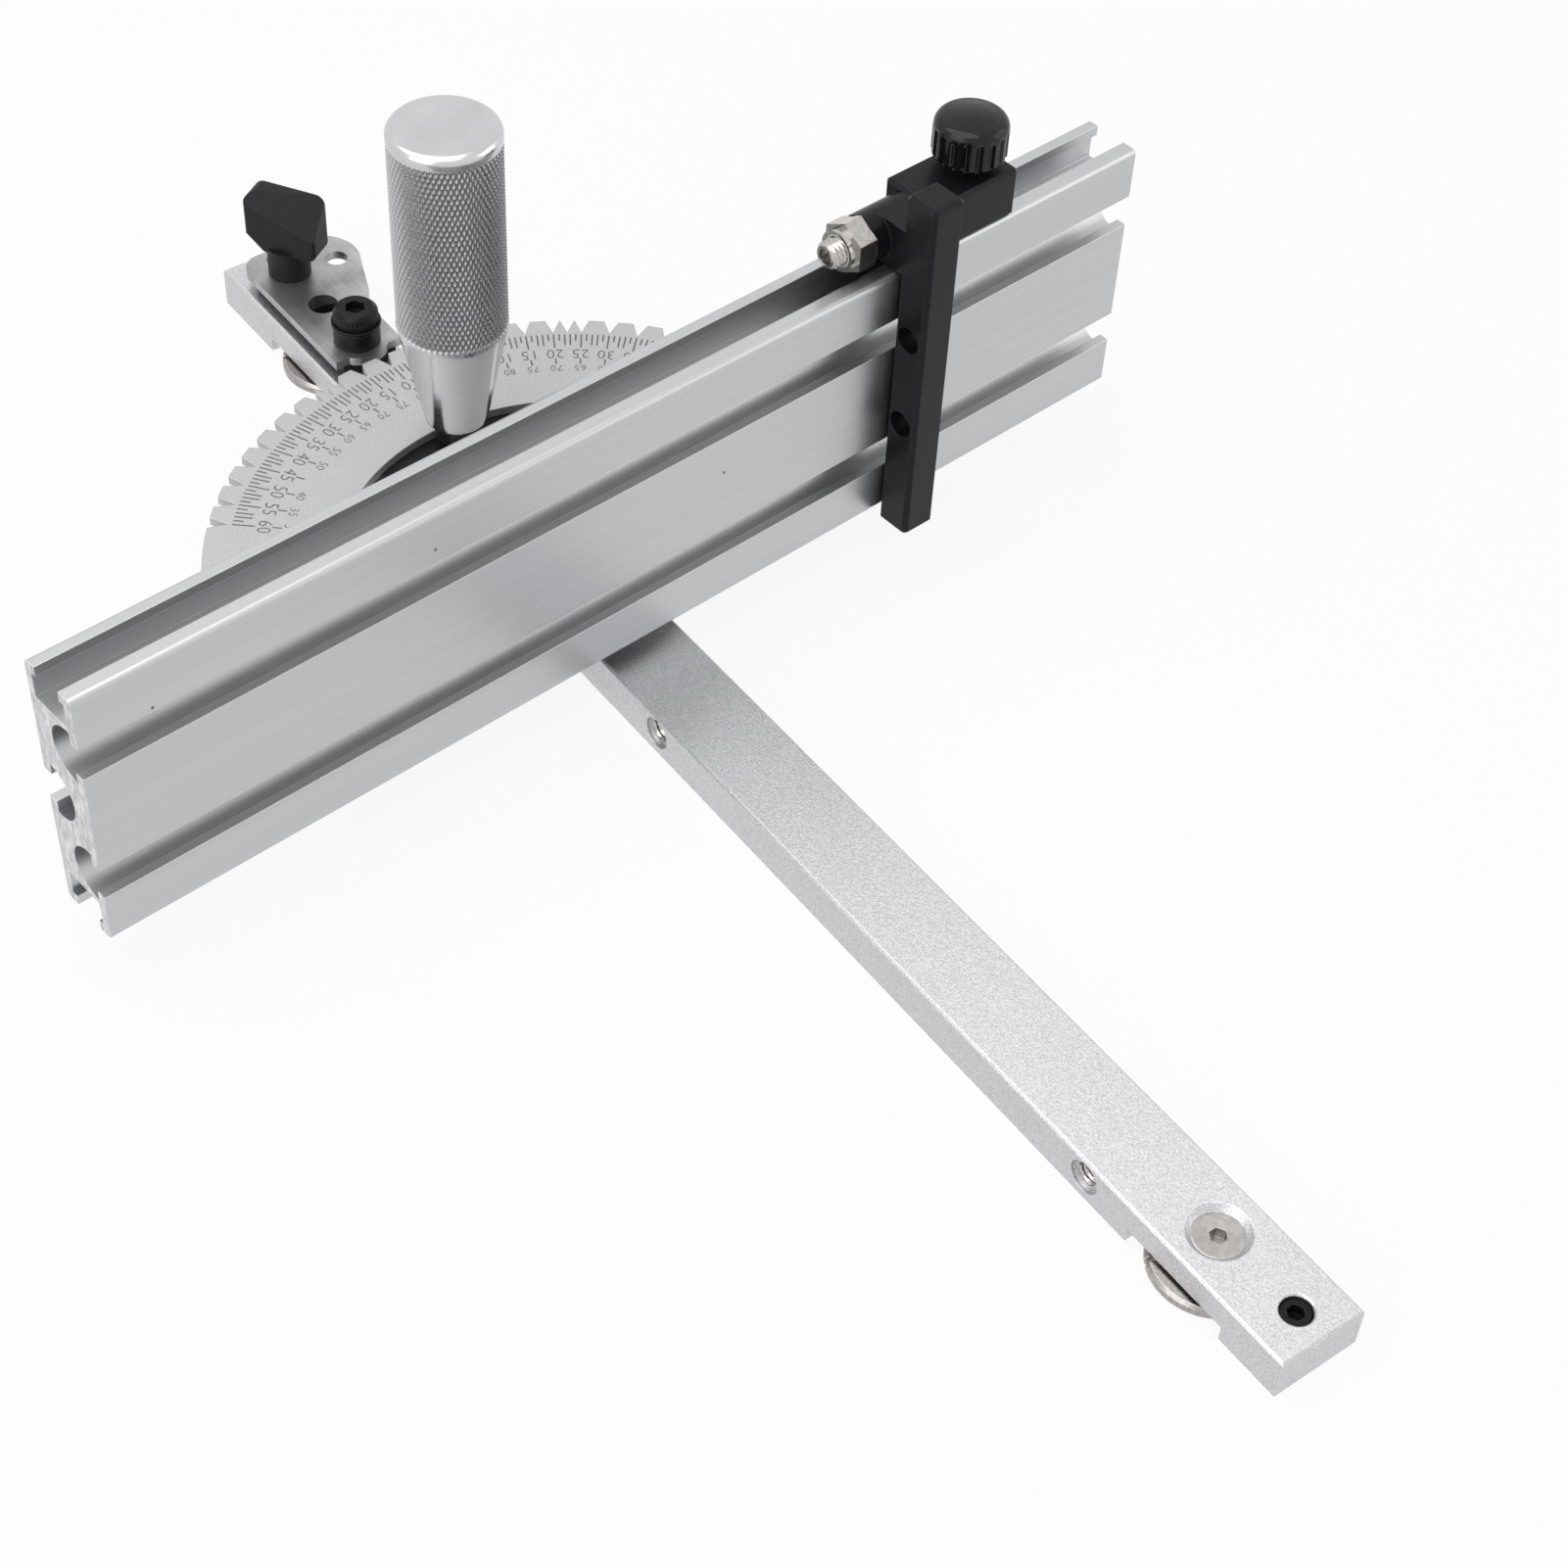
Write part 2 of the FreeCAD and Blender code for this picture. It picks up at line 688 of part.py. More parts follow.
def make_plate():
    """Toothed protractor plate: notched rim, straight front edge and an arc slot.

    Its zero line is plate_offset from the square line of the fence, so it is drawn about its own
    zero line and turned back onto the head by that angle.
    """
    body = new_body("protractor_plate")
    edge = v.fence_back - v.slide_gap
    reach = root(v.plate_radius * v.plate_radius - edge * edge)
    turn = v.plate_offset
    front = []
    for across in (-reach, reach):
        x = across * cosine(turn) + edge * sine(turn)
        y = across * sine(turn) - edge * cosine(turn)
        front.append((x, y))
    sketch = new_sketch(body, "XY_Plane", plate_bottom)
    outline(sketch, [front[0], front[1], arc(0, 0)])
    pad(body, sketch, v.plate_thickness)
    circle_cut(body, 0, 0, v.pivot_boss / 2 + v.fit_gap)
    slot_half = v.handle_stud_shank / 2 + v.slide_gap
    inner = v.slot_radius - slot_half
    outer = v.slot_radius + slot_half
    low, high = 90 - v.slot_half_angle, 90 + v.slot_half_angle
    cap_low = (v.slot_radius * cosine(low), v.slot_radius * sine(low))
    cap_high = (v.slot_radius * cosine(high), v.slot_radius * sine(high))
    slot = [(inner * cosine(high), inner * sine(high)), arc(0, 0, left=False),
            (inner * cosine(low), inner * sine(low)), arc(*cap_low),
            (outer * cosine(low), outer * sine(low)), arc(0, 0),
            (outer * cosine(high), outer * sine(high)), arc(*cap_high)]
    cut(body, outline(new_sketch(body, "XY_Plane", plate_top), slot), v.plate_thickness)
    for across in (-bracket_screw_half, bracket_screw_half):
        back = v.bracket_screw_back
        x = across * cosine(turn) - back * sine(turn)
        y = across * sine(turn) + back * cosine(turn)
        circle_cut(body, x, y, v.bracket_screw_shank / 2 + v.fit_gap)
    for first, step, count in ((v.notch_reach, v.notch_reach * 2,
                                round(2 * v.notch_reach.number / v.notch_pitch.number) + 1),
                               (v.extra_notch, v.extra_notch * 2, 2)):
        sketch = outline(new_sketch(body, "XY_Plane", plate_top), notch_path(90 - first))
        notch = cut(body, sketch, v.plate_thickness)
        pattern(body, notch, step, count)
    place(body, turn=-turn)
    return node(body, "protractor_plate")


def notch_path(angle):
    """V notch in the rim, its root at the given angle and its mouth past the rim."""
    mouth = v.plate_radius + v.overcut
    notch_root = v.plate_radius - v.notch_depth
    spread = (mouth - notch_root) * tangent(v.notch_half_angle)
    side_x = spread * sine(angle)
    side_y = spread * cosine(angle)
    tip = (notch_root * cosine(angle), notch_root * sine(angle))
    middle = (mouth * cosine(angle), mouth * sine(angle))
    return [tip, (middle[0] + side_x, middle[1] - side_y), (middle[0] - side_x, middle[1] + side_y)]


def circle_cut(body, x, y, radius):
    cut(body, circle(new_sketch(body, "XY_Plane", plate_top), x, y, radius), v.plate_thickness)


def make_bracket():
    """Angle bracket on the plate that holds the fence upright."""
    body = new_body("fence_bracket")
    front, depth = v.fence_back, v.bracket_depth
    leg, base = v.bracket_leg, v.bracket_base
    top = bolt_height + v.bracket_above_bolt
    path = [(-front, plate_top), (depth - front, plate_top), (depth - front, plate_top + base),
            (leg - front, plate_top + base), (leg - front, top), (-front, top)]
    profile = outline(new_sketch(body, "YZ_Plane"), path)
    angle = pad(body, profile, v.bracket_half * 2, middle=True)
    inner_y, inner_z = (leg - front).number, (plate_top + base).number
    inner = edges_where(angle.Shape, lambda a, b: same(a, b, (1, 2)) and
                        abs(a.y - inner_y) < 1e-4 and abs(a.z - inner_z) < 1e-4)
    soften(body, angle, inner, "Fillet", v.bracket_bend)
    hole = new_sketch(body, "XY_Plane", plate_top + base)
    clear = v.pivot_head / 2 + v.bracket_hole_gap
    path = box_path(-clear, clear, leg - front, clear)
    cut(body, outline(hole, path), base)
    for across in (-bracket_screw_half, bracket_screw_half):
        sketch = new_sketch(body, "XY_Plane", plate_top + base)
        circle(sketch, across, v.bracket_screw_back, v.bracket_screw_shank / 2 + v.fit_gap)
        cut(body, sketch, base)
    for across in (-v.bolt_half, v.bolt_half):
        sketch = new_sketch(body, "XZ_Plane", front)
        circle(sketch, across, bolt_height, stud_hole)
        cut(body, sketch, leg, reverse=False)
    return node(body, "fence_bracket")


def make_bracket_fasteners():
    """Button screws into the plate, and the bolts, washers and nuts that hold the fence."""
    screw = new_body("bracket_screw")
    shank, head = v.bracket_screw_shank / 2, v.bracket_screw_head / 2
    base, rise = v.bracket_base + v.plate_thickness, v.bracket_screw_rise
    top = base + rise
    turned(screw, [(0, 0), (shank, 0), (shank, base), (head, base), (head, base + v.bracket_screw_rim),
                   (v.bracket_screw_crown, top), (0, top)])
    hex_socket(screw, v.bracket_screw_socket, top, rise - v.bracket_screw_rim / 2)
    place(screw, bracket_screw_half, v.bracket_screw_back, plate_bottom)
    pair(screw, "bracket_screws")
    inside = v.slot_lip + v.fit_gap * 2
    behind = v.bracket_leg + v.bolt_washer_thickness + v.bolt_nut_height + v.bolt_tail
    bolt = new_body("fence_bolt")
    head = outline(new_sketch(bolt, "XY_Plane", inside), hexagon(bolt_head))
    pad(bolt, head, v.bolt_head_thickness)
    stem = circle(new_sketch(bolt, "XY_Plane", -behind), 0, 0, v.stud_diameter / 2)
    pad(bolt, stem, behind + inside)
    hang(bolt)
    pair(bolt, "fence_bolts")
    washer = new_body("fence_bolt_washer")
    low = -v.bracket_leg - v.bolt_washer_thickness
    ring = circle(new_sketch(washer, "XY_Plane", low), 0, 0, v.bolt_washer / 2)
    circle(ring, 0, 0, stud_hole)
    pad(washer, ring, v.bolt_washer_thickness)
    hang(washer)
    pair(washer, "fence_bolt_washers")
    nut = new_body("fence_bolt_nut")
    ring = outline(new_sketch(nut, "XY_Plane", low - v.bolt_nut_height), hexagon(bolt_head))
    circle(ring, 0, 0, stud_hole)
    pad(nut, ring, v.bolt_nut_height)
    hang(nut)
    pair(nut, "fence_bolt_nuts")


def hang(item):
    """Lays a piece's own axis level, pointing into the fence's rear slot."""
    place(item, v.bolt_half, -v.fence_back, bolt_height, tip=((1, 0, 0), 90))


def slot_path(middle, face, inward):
    """T-slot in a tall face: an opening, lips, and a cavity with a round back."""
    gap, chord = v.stud_diameter / 2 + v.slot_play, slot_chord / 2
    lip = face + inward * v.slot_lip
    seat = face + inward * (v.slot_lip + v.slot_wall)
    outside = face - inward * v.overcut
    turn = inward.number > 0
    return [(outside, middle - gap), (lip, middle - gap), (lip, middle - chord),
            (seat, middle - chord), arc(seat, middle, left=turn), (seat, middle + chord),
            (lip, middle + chord), (lip, middle + gap), (outside, middle + gap)]


def edge_slot_path(face, inward):
    """T-slot in the top or bottom edge: an opening, lips, and a square cavity."""
    front = top_slot_middle - top_slot_half
    back = top_slot_middle + top_slot_half
    under = v.top_slot_undercut
    lip = face + inward * v.slot_lip
    floor = face + inward * v.top_slot_depth
    outside = face - inward * v.overcut
    return [(front, outside), (front, lip), (front - under, lip), (front - under, floor),
            (back + under, floor), (back + under, lip), (back, lip), (back, outside)]


def make_fence():
    """Extruded fence: two T-slots in front, one behind, one in each edge."""
    body = new_body("fence_extrusion")
    sketch = new_sketch(body, "YZ_Plane")
    outline(sketch, box_path(-fence_front, -v.fence_back, fence_bottom, fence_top))
    bar = pad(body, sketch, v.fence_length, middle=True)
    corners = edges_where(bar.Shape, lambda a, b: same(a, b, (1, 2)))
    soften(body, bar, corners, "Fillet", v.fence_corner)
    inward, outward = sized(1.0), sized(-1.0)
    paths = [slot_path(fence_bottom + slot_inset, -fence_front, inward),
             slot_path(fence_top - slot_inset, -fence_front, inward),
             slot_path(bolt_height, -v.fence_back, outward),
             edge_slot_path(fence_bottom, inward),
             edge_slot_path(fence_top, outward)]
    for path in paths:
        cut(body, outline(new_sketch(body, "YZ_Plane"), path), v.fence_length + v.overcut, middle=True)
    return node(body, "fence_extrusion")


def make_handle():
    """Turned lock handle: flared neck, straight grip and rounded rim, on its stud and washer."""
    foot = plate_top + v.handle_washer_thickness
    top = foot + v.handle_height
    grip = foot + v.handle_grip_height
    neck = foot + v.handle_neck_height
    radius, rim = v.handle_radius, v.handle_rim
    bore, shank = handle_hole, v.handle_stud_shank / 2
    roof = foot + v.handle_bore_depth
    body = new_body("lock_handle")
    turned(body, [(bore, foot), (v.handle_foot_radius, foot), (v.handle_neck_radius, neck),
                  (radius, grip), (radius, top - rim), arc(radius - rim, top - rim),
                  (radius - rim, top), (0, top), (0, roof), (bore, roof)])
    place(body, 0, v.slot_radius, 0, along_bar=True)
    node(body, "lock_handle")
    stud = new_body("handle_stud")
    turned(stud, [(0, v.stud_foot), (shank, v.stud_foot), (shank, roof), (0, roof)])
    place(stud, 0, v.slot_radius, 0, along_bar=True)
    node(stud, "handle_stud")
    washer = new_body("handle_washer")
    turned(washer, [(bore, plate_top), (v.handle_washer / 2, plate_top),
                    (v.handle_washer / 2, foot), (bore, foot)])
    place(washer, 0, v.slot_radius, 0, along_bar=True)
    node(washer, "handle_washer")


def index_outline():
    """Outline of the index plate: a round bump in front and an ear beyond the bar's side."""
    half, corner, back = v.bar_width / 2 - v.index_inset, v.index_corner, index_back
    lead = v.index_before_pin
    front = pin_place - lead
    bump = root(v.bump_radius * v.bump_radius - lead * lead)
    waist = pin_place + v.waist_from_pin
    out, reach, angle = v.ear_out, v.ear_radius, v.ear_angle
    ear_side = (out + reach * cosine(angle), back - reach - reach * sine(angle))
    return [(-half, front), (-bump, front), arc(0, pin_place), (bump, front), (half, front),
            (half, waist - v.waist_outward), (half + v.waist_outward, waist), ear_side,
            arc(out, back - reach), (out, back), (corner - half, back),
            arc(corner - half, back - corner), (-half, back - corner)]


def make_index_group():
    """Index plate on its spacer, with a round pin that at full travel stops outside the rim."""
    spacer = new_body("index_spacer")
    half = v.countersink_mouth / 2 + v.index_spacer_wall
    low = pin_place - v.pin_radius
    high = index_back - v.index_travel
    sketch = new_sketch(spacer, "XY_Plane", bar_top)
    outline(sketch, box_path(-half, half, low, high))
    circle(sketch, 0, disc_rear, v.countersink_mouth / 2)
    circle(sketch, 0, wing_place, wing_hole)
    pad(spacer, sketch, v.index_spacer_height)
    place(spacer, along_bar=True)
    node(spacer, "index_spacer")
    plate = new_body("index_plate")
    sketch = outline(new_sketch(plate, "XY_Plane", index_bottom), index_outline())
    flat = pad(plate, sketch, v.index_thickness)
    waist_side = v.bar_width / 2 - v.index_inset + v.waist_outward
    waist = edges_where(flat.Shape, lambda a, b: same(a, b, (0, 1)) and
                        abs(a.x - waist_side.number) < 1e-3)
    soften(plate, flat, waist, "Fillet", v.index_corner)
    sketch = new_sketch(plate, "XY_Plane", index_top)
    circle(sketch, 0, pin_place + v.access_from_pin, v.access_hole / 2)
    circle(sketch, v.ear_out + v.ear_hole_outward, index_back - v.ear_radius - v.ear_hole_forward,
           v.ear_hole / 2)
    circle(sketch, 0, pin_place, wing_hole)
    gap = v.wing_stud / 2 + v.slide_gap
    end = wing_place + v.index_travel
    outline(sketch, [(-gap, end), (-gap, wing_place), arc(0, wing_place), (gap, wing_place),
                     (gap, end), arc(0, end)])
    cut(plate, sketch, v.index_thickness)
    place(plate, along_bar=True)
    node(plate, "index_plate")
    pin = new_body("index_pin")
    bore, outer, rim = wing_hole, v.pin_radius, v.pin_radius + v.pin_rim
    ring = v.pin_height - v.pin_ring
    turned(pin, [(bore, 0), (outer, 0), (outer, ring - v.pin_ring_slope), (rim, ring),
                 (rim, v.pin_height), (bore, v.pin_height)])
    place(pin, 0, pin_place, index_top, along_bar=True)
    node(pin, "index_pin")
    screw = new_body("index_pin_screw")
    head, top = v.pin_screw_head / 2, v.pin_height + v.pin_screw_rise
    shank = v.wing_stud / 2
    turned(screw, [(0, -v.index_thickness), (shank, -v.index_thickness), (shank, v.pin_height),
                   (head, v.pin_height), (head, top - v.pin_screw_chamfer),
                   (head - v.pin_screw_chamfer, top), (0, top)])
    hex_socket(screw, v.pin_screw_socket, top, v.socket_depth)
    place(screw, 0, pin_place, index_top, along_bar=True)
    node(screw, "index_pin_screw")


def make_wing_knob():
    """Wing knob: a round base under one upright blade, whose near side leans back as a grip.

    The lean deepens along the blade, so its lower edge runs at a slant across the side.
    """
    knob = new_body("wing_knob")
    base, deep, height = v.wing_base / 2, v.wing_base_height, v.wing_height
    roof = deep - v.wing_stud_end
    turned(knob, [(wing_hole, 0), (base, 0), (base, deep), (0, deep), (0, roof), (wing_hole, roof)])
    half, span, corner = v.wing_thickness / 2, v.wing_half_span, v.wing_corner
    foot = deep - v.overcut
    sketch = outline(new_sketch(knob, "XZ_Plane"), [
        (-base, foot), (span - corner, foot), arc(span - corner, foot + corner),
        (span, foot + corner), (span, height - corner), arc(span - corner, height - corner),
        (span - corner, height), (corner - span, height), arc(corner - span, height - corner),
        (-span, height - corner), (-span, deep + v.wing_left_rise)])
    blade = pad(knob, sketch, v.wing_thickness, middle=True)
    side = half.number - 1e-4
    rims = [f"Edge{index}" for index, edge in enumerate(blade.Shape.Edges, start=1)
            if edge.BoundBox.YLength < 1e-4 and abs(edge.BoundBox.YMin) > side
            and edge.BoundBox.ZMax > deep.number + 1e-4]
    soften(knob, blade, rims, "Fillet", v.wing_edge)
    lean = new_sketch(knob, "YZ_Plane")
    lean.setExpression("AttachmentOffset",
                       "placement(vector(0; 0; 0); rotation(vector(1; 0; 0); Sizes.wing_slant))")
    steep, past = v.wing_face_rise / v.wing_thickness, v.overcut
    level = cosine(v.wing_slant)
    low = (v.wing_crease - steep * past) * level
    high = (v.wing_crease + v.wing_face_rise + steep * past) * level
    outline(lean, [(-half - past, low), (half + past, high), (-half - past, high)])
    cut(knob, lean, height * 2, middle=True)
    place(knob, 0, wing_place, index_top, turn=-v.wing_turn, along_bar=True)
    node(knob, "wing_knob")
    stud = new_body("wing_stud")
    shank, end = v.wing_stud / 2, index_top + roof
    turned(stud, [(0, v.stud_foot), (shank, v.stud_foot), (shank, end), (0, end)])
    place(stud, 0, wing_place, 0, along_bar=True)
    node(stud, "wing_stud")


def make_stop_block():
    """Block on the fence's top edge, bored for the hinge stud and the knob's stud."""
    body = new_body("stop_block")
    sketch = new_sketch(body, "XY_Plane", fence_top)
    outline(sketch, box_path(stop_x, stop_x + v.stop_length, -fence_front, v.stop_depth - fence_front))
    block = pad(body, sketch, stop_top - fence_top)
    edges = [f"Edge{index}" for index in range(1, len(block.Shape.Edges) + 1)]
    soften(body, block, edges, "Chamfer", v.stop_edge)
    side = new_sketch(body, "YZ_Plane", stop_x)
    circle(side, -v.hinge_back, hinge_z, stud_hole)
    cut(body, side, v.hinge_stud_in, reverse=True)
    top = circle(new_sketch(body, "XY_Plane", stop_top), knob_x, top_slot_middle, stud_hole)
    cut(body, top, stop_top - fence_top)
    node(body, "stop_block")


def make_stop_arm():
    """Flip arm: a square bar in front of the fence and a lug to the hinge barrel."""
    body = new_body("stop_arm")
    right = stop_x - v.slide_gap
    left = right - v.arm_width
    back = -fence_front - v.arm_gap
    front = back - v.arm_depth
    low, high = fence_bottom - v.arm_below_fence, fence_top + v.arm_above_fence
    sketch = outline(new_sketch(body, "XY_Plane", low), box_path(left, right, front, back))
    post = pad(body, sketch, high - low)
    edges = [f"Edge{index}" for index in range(1, len(post.Shape.Edges) + 1)]
    soften(body, post, edges, "Chamfer", v.arm_edge)
    radius = v.barrel_radius
    lug = new_sketch(body, "YZ_Plane", left)
    bite = back - v.arm_lug_bite
    outline(lug, [(bite, hinge_z - radius), (-v.hinge_back, hinge_z - radius),
                  arc(-v.hinge_back, hinge_z), (-v.hinge_back, hinge_z + radius),
                  (bite, hinge_z + radius)])
    pad(body, lug, v.arm_width)
    barrel = circle(new_sketch(body, "YZ_Plane", hinge_low), -v.hinge_back, hinge_z, radius)
    pad(body, barrel, v.barrel_length)
    bore = circle(new_sketch(body, "YZ_Plane", hinge_low), -v.hinge_back, hinge_z, stud_hole)
    cut(body, bore, v.barrel_length + v.overcut, reverse=True)
    for down in (v.arm_hole_high, v.arm_hole_low):
        sketch = new_sketch(body, "YZ_Plane", left)
        circle(sketch, back - v.arm_depth / 2, fence_top - down, v.arm_hole / 2)
        cut(body, sketch, v.arm_width, reverse=True)
    node(body, "stop_arm")


def make_hinge_fasteners():
    """Hinge stud with its locking nut and the nut's collar insert, all on one level axis."""
    stud_length = v.hinge_stud_out + v.barrel_length + v.barrel_gap + v.hinge_stud_in
    radius = v.stud_diameter / 2
    stud = new_body("hinge_stud")
    rim = v.hinge_stud_chamfer
    turned(stud, [(0, 0), (radius - rim, 0), (radius, rim), (radius, stud_length), (0, stud_length)])
    cut(stud, outline(new_sketch(stud, "XY_Plane"), hexagon(v.stud_socket)), v.socket_depth,
        reverse=True)
    lay(stud, hinge_low - v.hinge_stud_out)
    node(stud, "hinge_stud")
    nut = new_body("hinge_nut")
    inside = radius + v.nut_wall - v.nut_collar_wall
    sketch = outline(new_sketch(nut, "XY_Plane", v.nut_collar), hexagon((radius + v.nut_wall) * 2))
    circle(sketch, 0, 0, stud_hole)
    pad(nut, sketch, v.nut_height - v.nut_collar)
    rim = circle(new_sketch(nut, "XY_Plane"), 0, 0, inside)
    circle(rim, 0, 0, inside - v.nut_collar_wall)
    pad(nut, rim, v.nut_collar)
    lay(nut, hinge_low - v.nut_height)
    node(nut, "hinge_nut")
    insert = new_body("nut_insert")
    ring = circle(new_sketch(insert, "XY_Plane", v.nut_insert_sink), 0, 0,
                  inside - v.nut_collar_wall - v.fit_gap)
    circle(ring, 0, 0, stud_hole)
    pad(insert, ring, v.nut_collar - v.nut_insert_sink)
    lay(insert, hinge_low - v.nut_height)
    node(insert, "nut_insert")


def lay(item, start):
    """Lays a turned piece along the hinge axis, its foot at the given place."""
    place(item, start, -v.hinge_back, hinge_z, tip=((0, 1, 0), 90))


def make_stop_knob():
    """Fluted clamping knob with its stud, and the nut it draws up inside the fence's top slot."""
    knob = new_body("stop_knob")
    neck, radius = v.knob_neck / 2, v.knob_radius
    rise = v.knob_neck_height
    skirt = rise + v.knob_skirt
    crown, roof = skirt + v.knob_dome, rise + v.stud_foot
    turned(knob, [(stud_hole, 0), (neck, 0), (neck, rise), (radius, rise), (radius, skirt),
                  (radius - v.knob_dome, crown), (0, crown), (0, roof), (stud_hole, roof)])
    flute = circle(new_sketch(knob, "XY_Plane", crown), radius + v.knob_flute_out, 0, v.knob_flute)
    groove = cut(knob, flute, v.knob_skirt + v.knob_dome)
    pattern(knob, groove, 360.0, int(v.knob_flutes.number))
    place(knob, knob_x, top_slot_middle, stop_top)
    node(knob, "stop_knob")
    stud = new_body("stop_knob_stud")
    low = fence_top - v.slot_lip - v.stop_nut_height
    length, shank = stop_top + roof - low, v.stud_diameter / 2
    turned(stud, [(0, 0), (shank, 0), (shank, length), (0, length)])
    place(stud, knob_x, top_slot_middle, low)
    node(stud, "stop_knob_stud")
    nut = new_body("stop_t_nut")
    half = v.stop_nut_length / 2
    wide = top_slot_half + v.top_slot_undercut - v.stop_nut_gap
    sketch = new_sketch(nut, "XY_Plane", low - v.fit_gap * 2)
    outline(sketch, box_path(knob_x - half, knob_x + half, top_slot_middle - wide,
                             top_slot_middle + wide))
    circle(sketch, knob_x, top_slot_middle, stud_hole)
    pad(nut, sketch, v.stop_nut_height)
    node(nut, "stop_t_nut")


make_bar()
make_disc("front_retaining_disc", -disc_front)
make_disc("rear_retaining_disc", disc_rear)
make_disc_screw("front_disc_screw", -disc_front)
make_disc_screw("rear_disc_screw", disc_rear)
make_end_screw()
make_pivot()
make_clamp_pad()
make_plate()
make_bracket()
make_bracket_fasteners()
make_fence()
make_handle()
make_index_group()
make_wing_knob()
make_stop_block()
make_stop_arm()
make_hinge_fasteners()
make_stop_knob()

doc.recompute()
for item in doc.Objects:
    if "Invalid" in item.State or "Error" in item.State:
        raise RuntimeError(f"{item.Label} failed: {item.State}")
os.makedirs("parts", exist_ok=True)
for item in NODES:
    if item.Shape.isNull() or not item.Shape.isValid() or not item.Shape.Solids:
        raise RuntimeError(f"{item.Label} has no valid solid")
    item.Shape.exportStep(f"parts/{item.Label}.step")
    print(f"{item.Label}: {len(item.Shape.Solids)} solids, {item.Shape.Volume:.1f} mm3")
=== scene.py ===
# %% [markdown]
# A miter gauge guides wood past a saw blade: a bar runs in the table's slot, a toothed head swings
# on it, and a long extruded fence holds the work. The rigid pieces come ready at their real size.
# This lesson gives them their finish and adds what is too fine for a solid: the engraved scale,
# the knurl of the handle, threads, flutes and the ridges of a screw head. We load the frame first,
# because the places of the new pieces are read from it.

# %% Load the frame
import json
import math

import bpy
import numpy as np
from mathutils import Matrix, Vector


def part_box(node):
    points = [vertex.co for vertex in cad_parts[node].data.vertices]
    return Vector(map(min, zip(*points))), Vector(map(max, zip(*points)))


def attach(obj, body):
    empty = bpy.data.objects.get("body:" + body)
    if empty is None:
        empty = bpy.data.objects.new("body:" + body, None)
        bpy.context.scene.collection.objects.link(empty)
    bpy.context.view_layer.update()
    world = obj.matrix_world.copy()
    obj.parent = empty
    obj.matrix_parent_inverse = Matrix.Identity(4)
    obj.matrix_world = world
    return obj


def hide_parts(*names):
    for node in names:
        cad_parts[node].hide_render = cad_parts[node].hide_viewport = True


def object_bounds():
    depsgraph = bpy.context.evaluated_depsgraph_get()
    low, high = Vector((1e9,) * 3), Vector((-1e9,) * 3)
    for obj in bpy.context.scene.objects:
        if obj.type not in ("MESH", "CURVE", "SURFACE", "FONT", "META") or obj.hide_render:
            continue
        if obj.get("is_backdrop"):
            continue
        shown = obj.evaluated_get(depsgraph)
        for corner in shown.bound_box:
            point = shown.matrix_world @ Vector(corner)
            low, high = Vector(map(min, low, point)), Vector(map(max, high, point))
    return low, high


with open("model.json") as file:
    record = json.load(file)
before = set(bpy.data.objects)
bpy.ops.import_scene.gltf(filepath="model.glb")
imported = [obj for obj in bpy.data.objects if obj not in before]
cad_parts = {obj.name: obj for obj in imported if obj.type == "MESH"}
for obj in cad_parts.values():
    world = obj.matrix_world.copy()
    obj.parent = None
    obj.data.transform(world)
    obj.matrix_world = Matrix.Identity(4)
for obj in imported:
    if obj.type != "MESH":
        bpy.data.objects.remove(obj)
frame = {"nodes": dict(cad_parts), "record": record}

cad_bounds = [list(corner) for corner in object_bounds()]
nodes = frame["nodes"]
MM = 0.001

# %% [markdown]
# The bar lies turned five degrees from square, and the scale's zero lies fifteen degrees from the
# fence's square line, as the gauge is set. We keep both as named angles, and read the places that
# the new pieces share from the solids' own boxes, so that a piece sits exactly on what carries it.

# %% Shared places
BAR_TURN = math.radians(5.0)
SCALE_OFFSET = math.radians(15.0)


def span(node):
    """Lowest and highest corner of a node as arrays, in metres."""
    low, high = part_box(node)
    return np.array(low), np.array(high)


def middle(node):
    """Centre of a node's box."""
    low, high = span(node)
    return (low + high) / 2


plate_top = span("protractor_plate")[1][2]
handle_low, handle_high = span("lock_handle")
handle_axis = middle("lock_handle")[:2]
print("plate top at", round(plate_top / MM, 2), "mm; handle axis", (handle_axis / MM).round(2))

# %% [markdown]
# The camera stands in front of the gauge, to the left and above, and looks down at about 47
# degrees with a long lens, so that far edges stay nearly parallel. Blender could track a target,
# but a photograph also has a slight roll, so we state two directions, where the lens looks and
# where its right hand points, and build the rotation from them.

# %% Camera
CAMERA_PLACE = Vector((-286.77, -361.36, 437.12)) * MM
CAMERA_LOOK = Vector((0.47821, 0.49236, -0.72725)).normalized()
CAMERA_RIGHT = Vector((0.74847, -0.6617, 0.04418)).normalized()
CAMERA_LENS = 69.4
CAMERA_SENSOR = 36.0


def aim_camera():
    """Camera whose axes are right, up and back; up is right crossed with look."""
    data = bpy.data.cameras.new("camera")
    camera = bpy.data.objects.new("camera", data)
    bpy.context.scene.collection.objects.link(camera)
    up = CAMERA_RIGHT.cross(CAMERA_LOOK).normalized()
    axes = Matrix((CAMERA_RIGHT, up, -CAMERA_LOOK)).transposed()
    camera.matrix_world = Matrix.Translation(CAMERA_PLACE) @ axes.to_4x4()
    data.lens = CAMERA_LENS
    data.sensor_width = CAMERA_SENSOR
    data.clip_start = 0.01
    data.clip_end = 20.0
    bpy.context.scene.camera = camera
    return camera


camera = aim_camera()
print("camera at", [round(x, 3) for x in camera.matrix_world.translation])

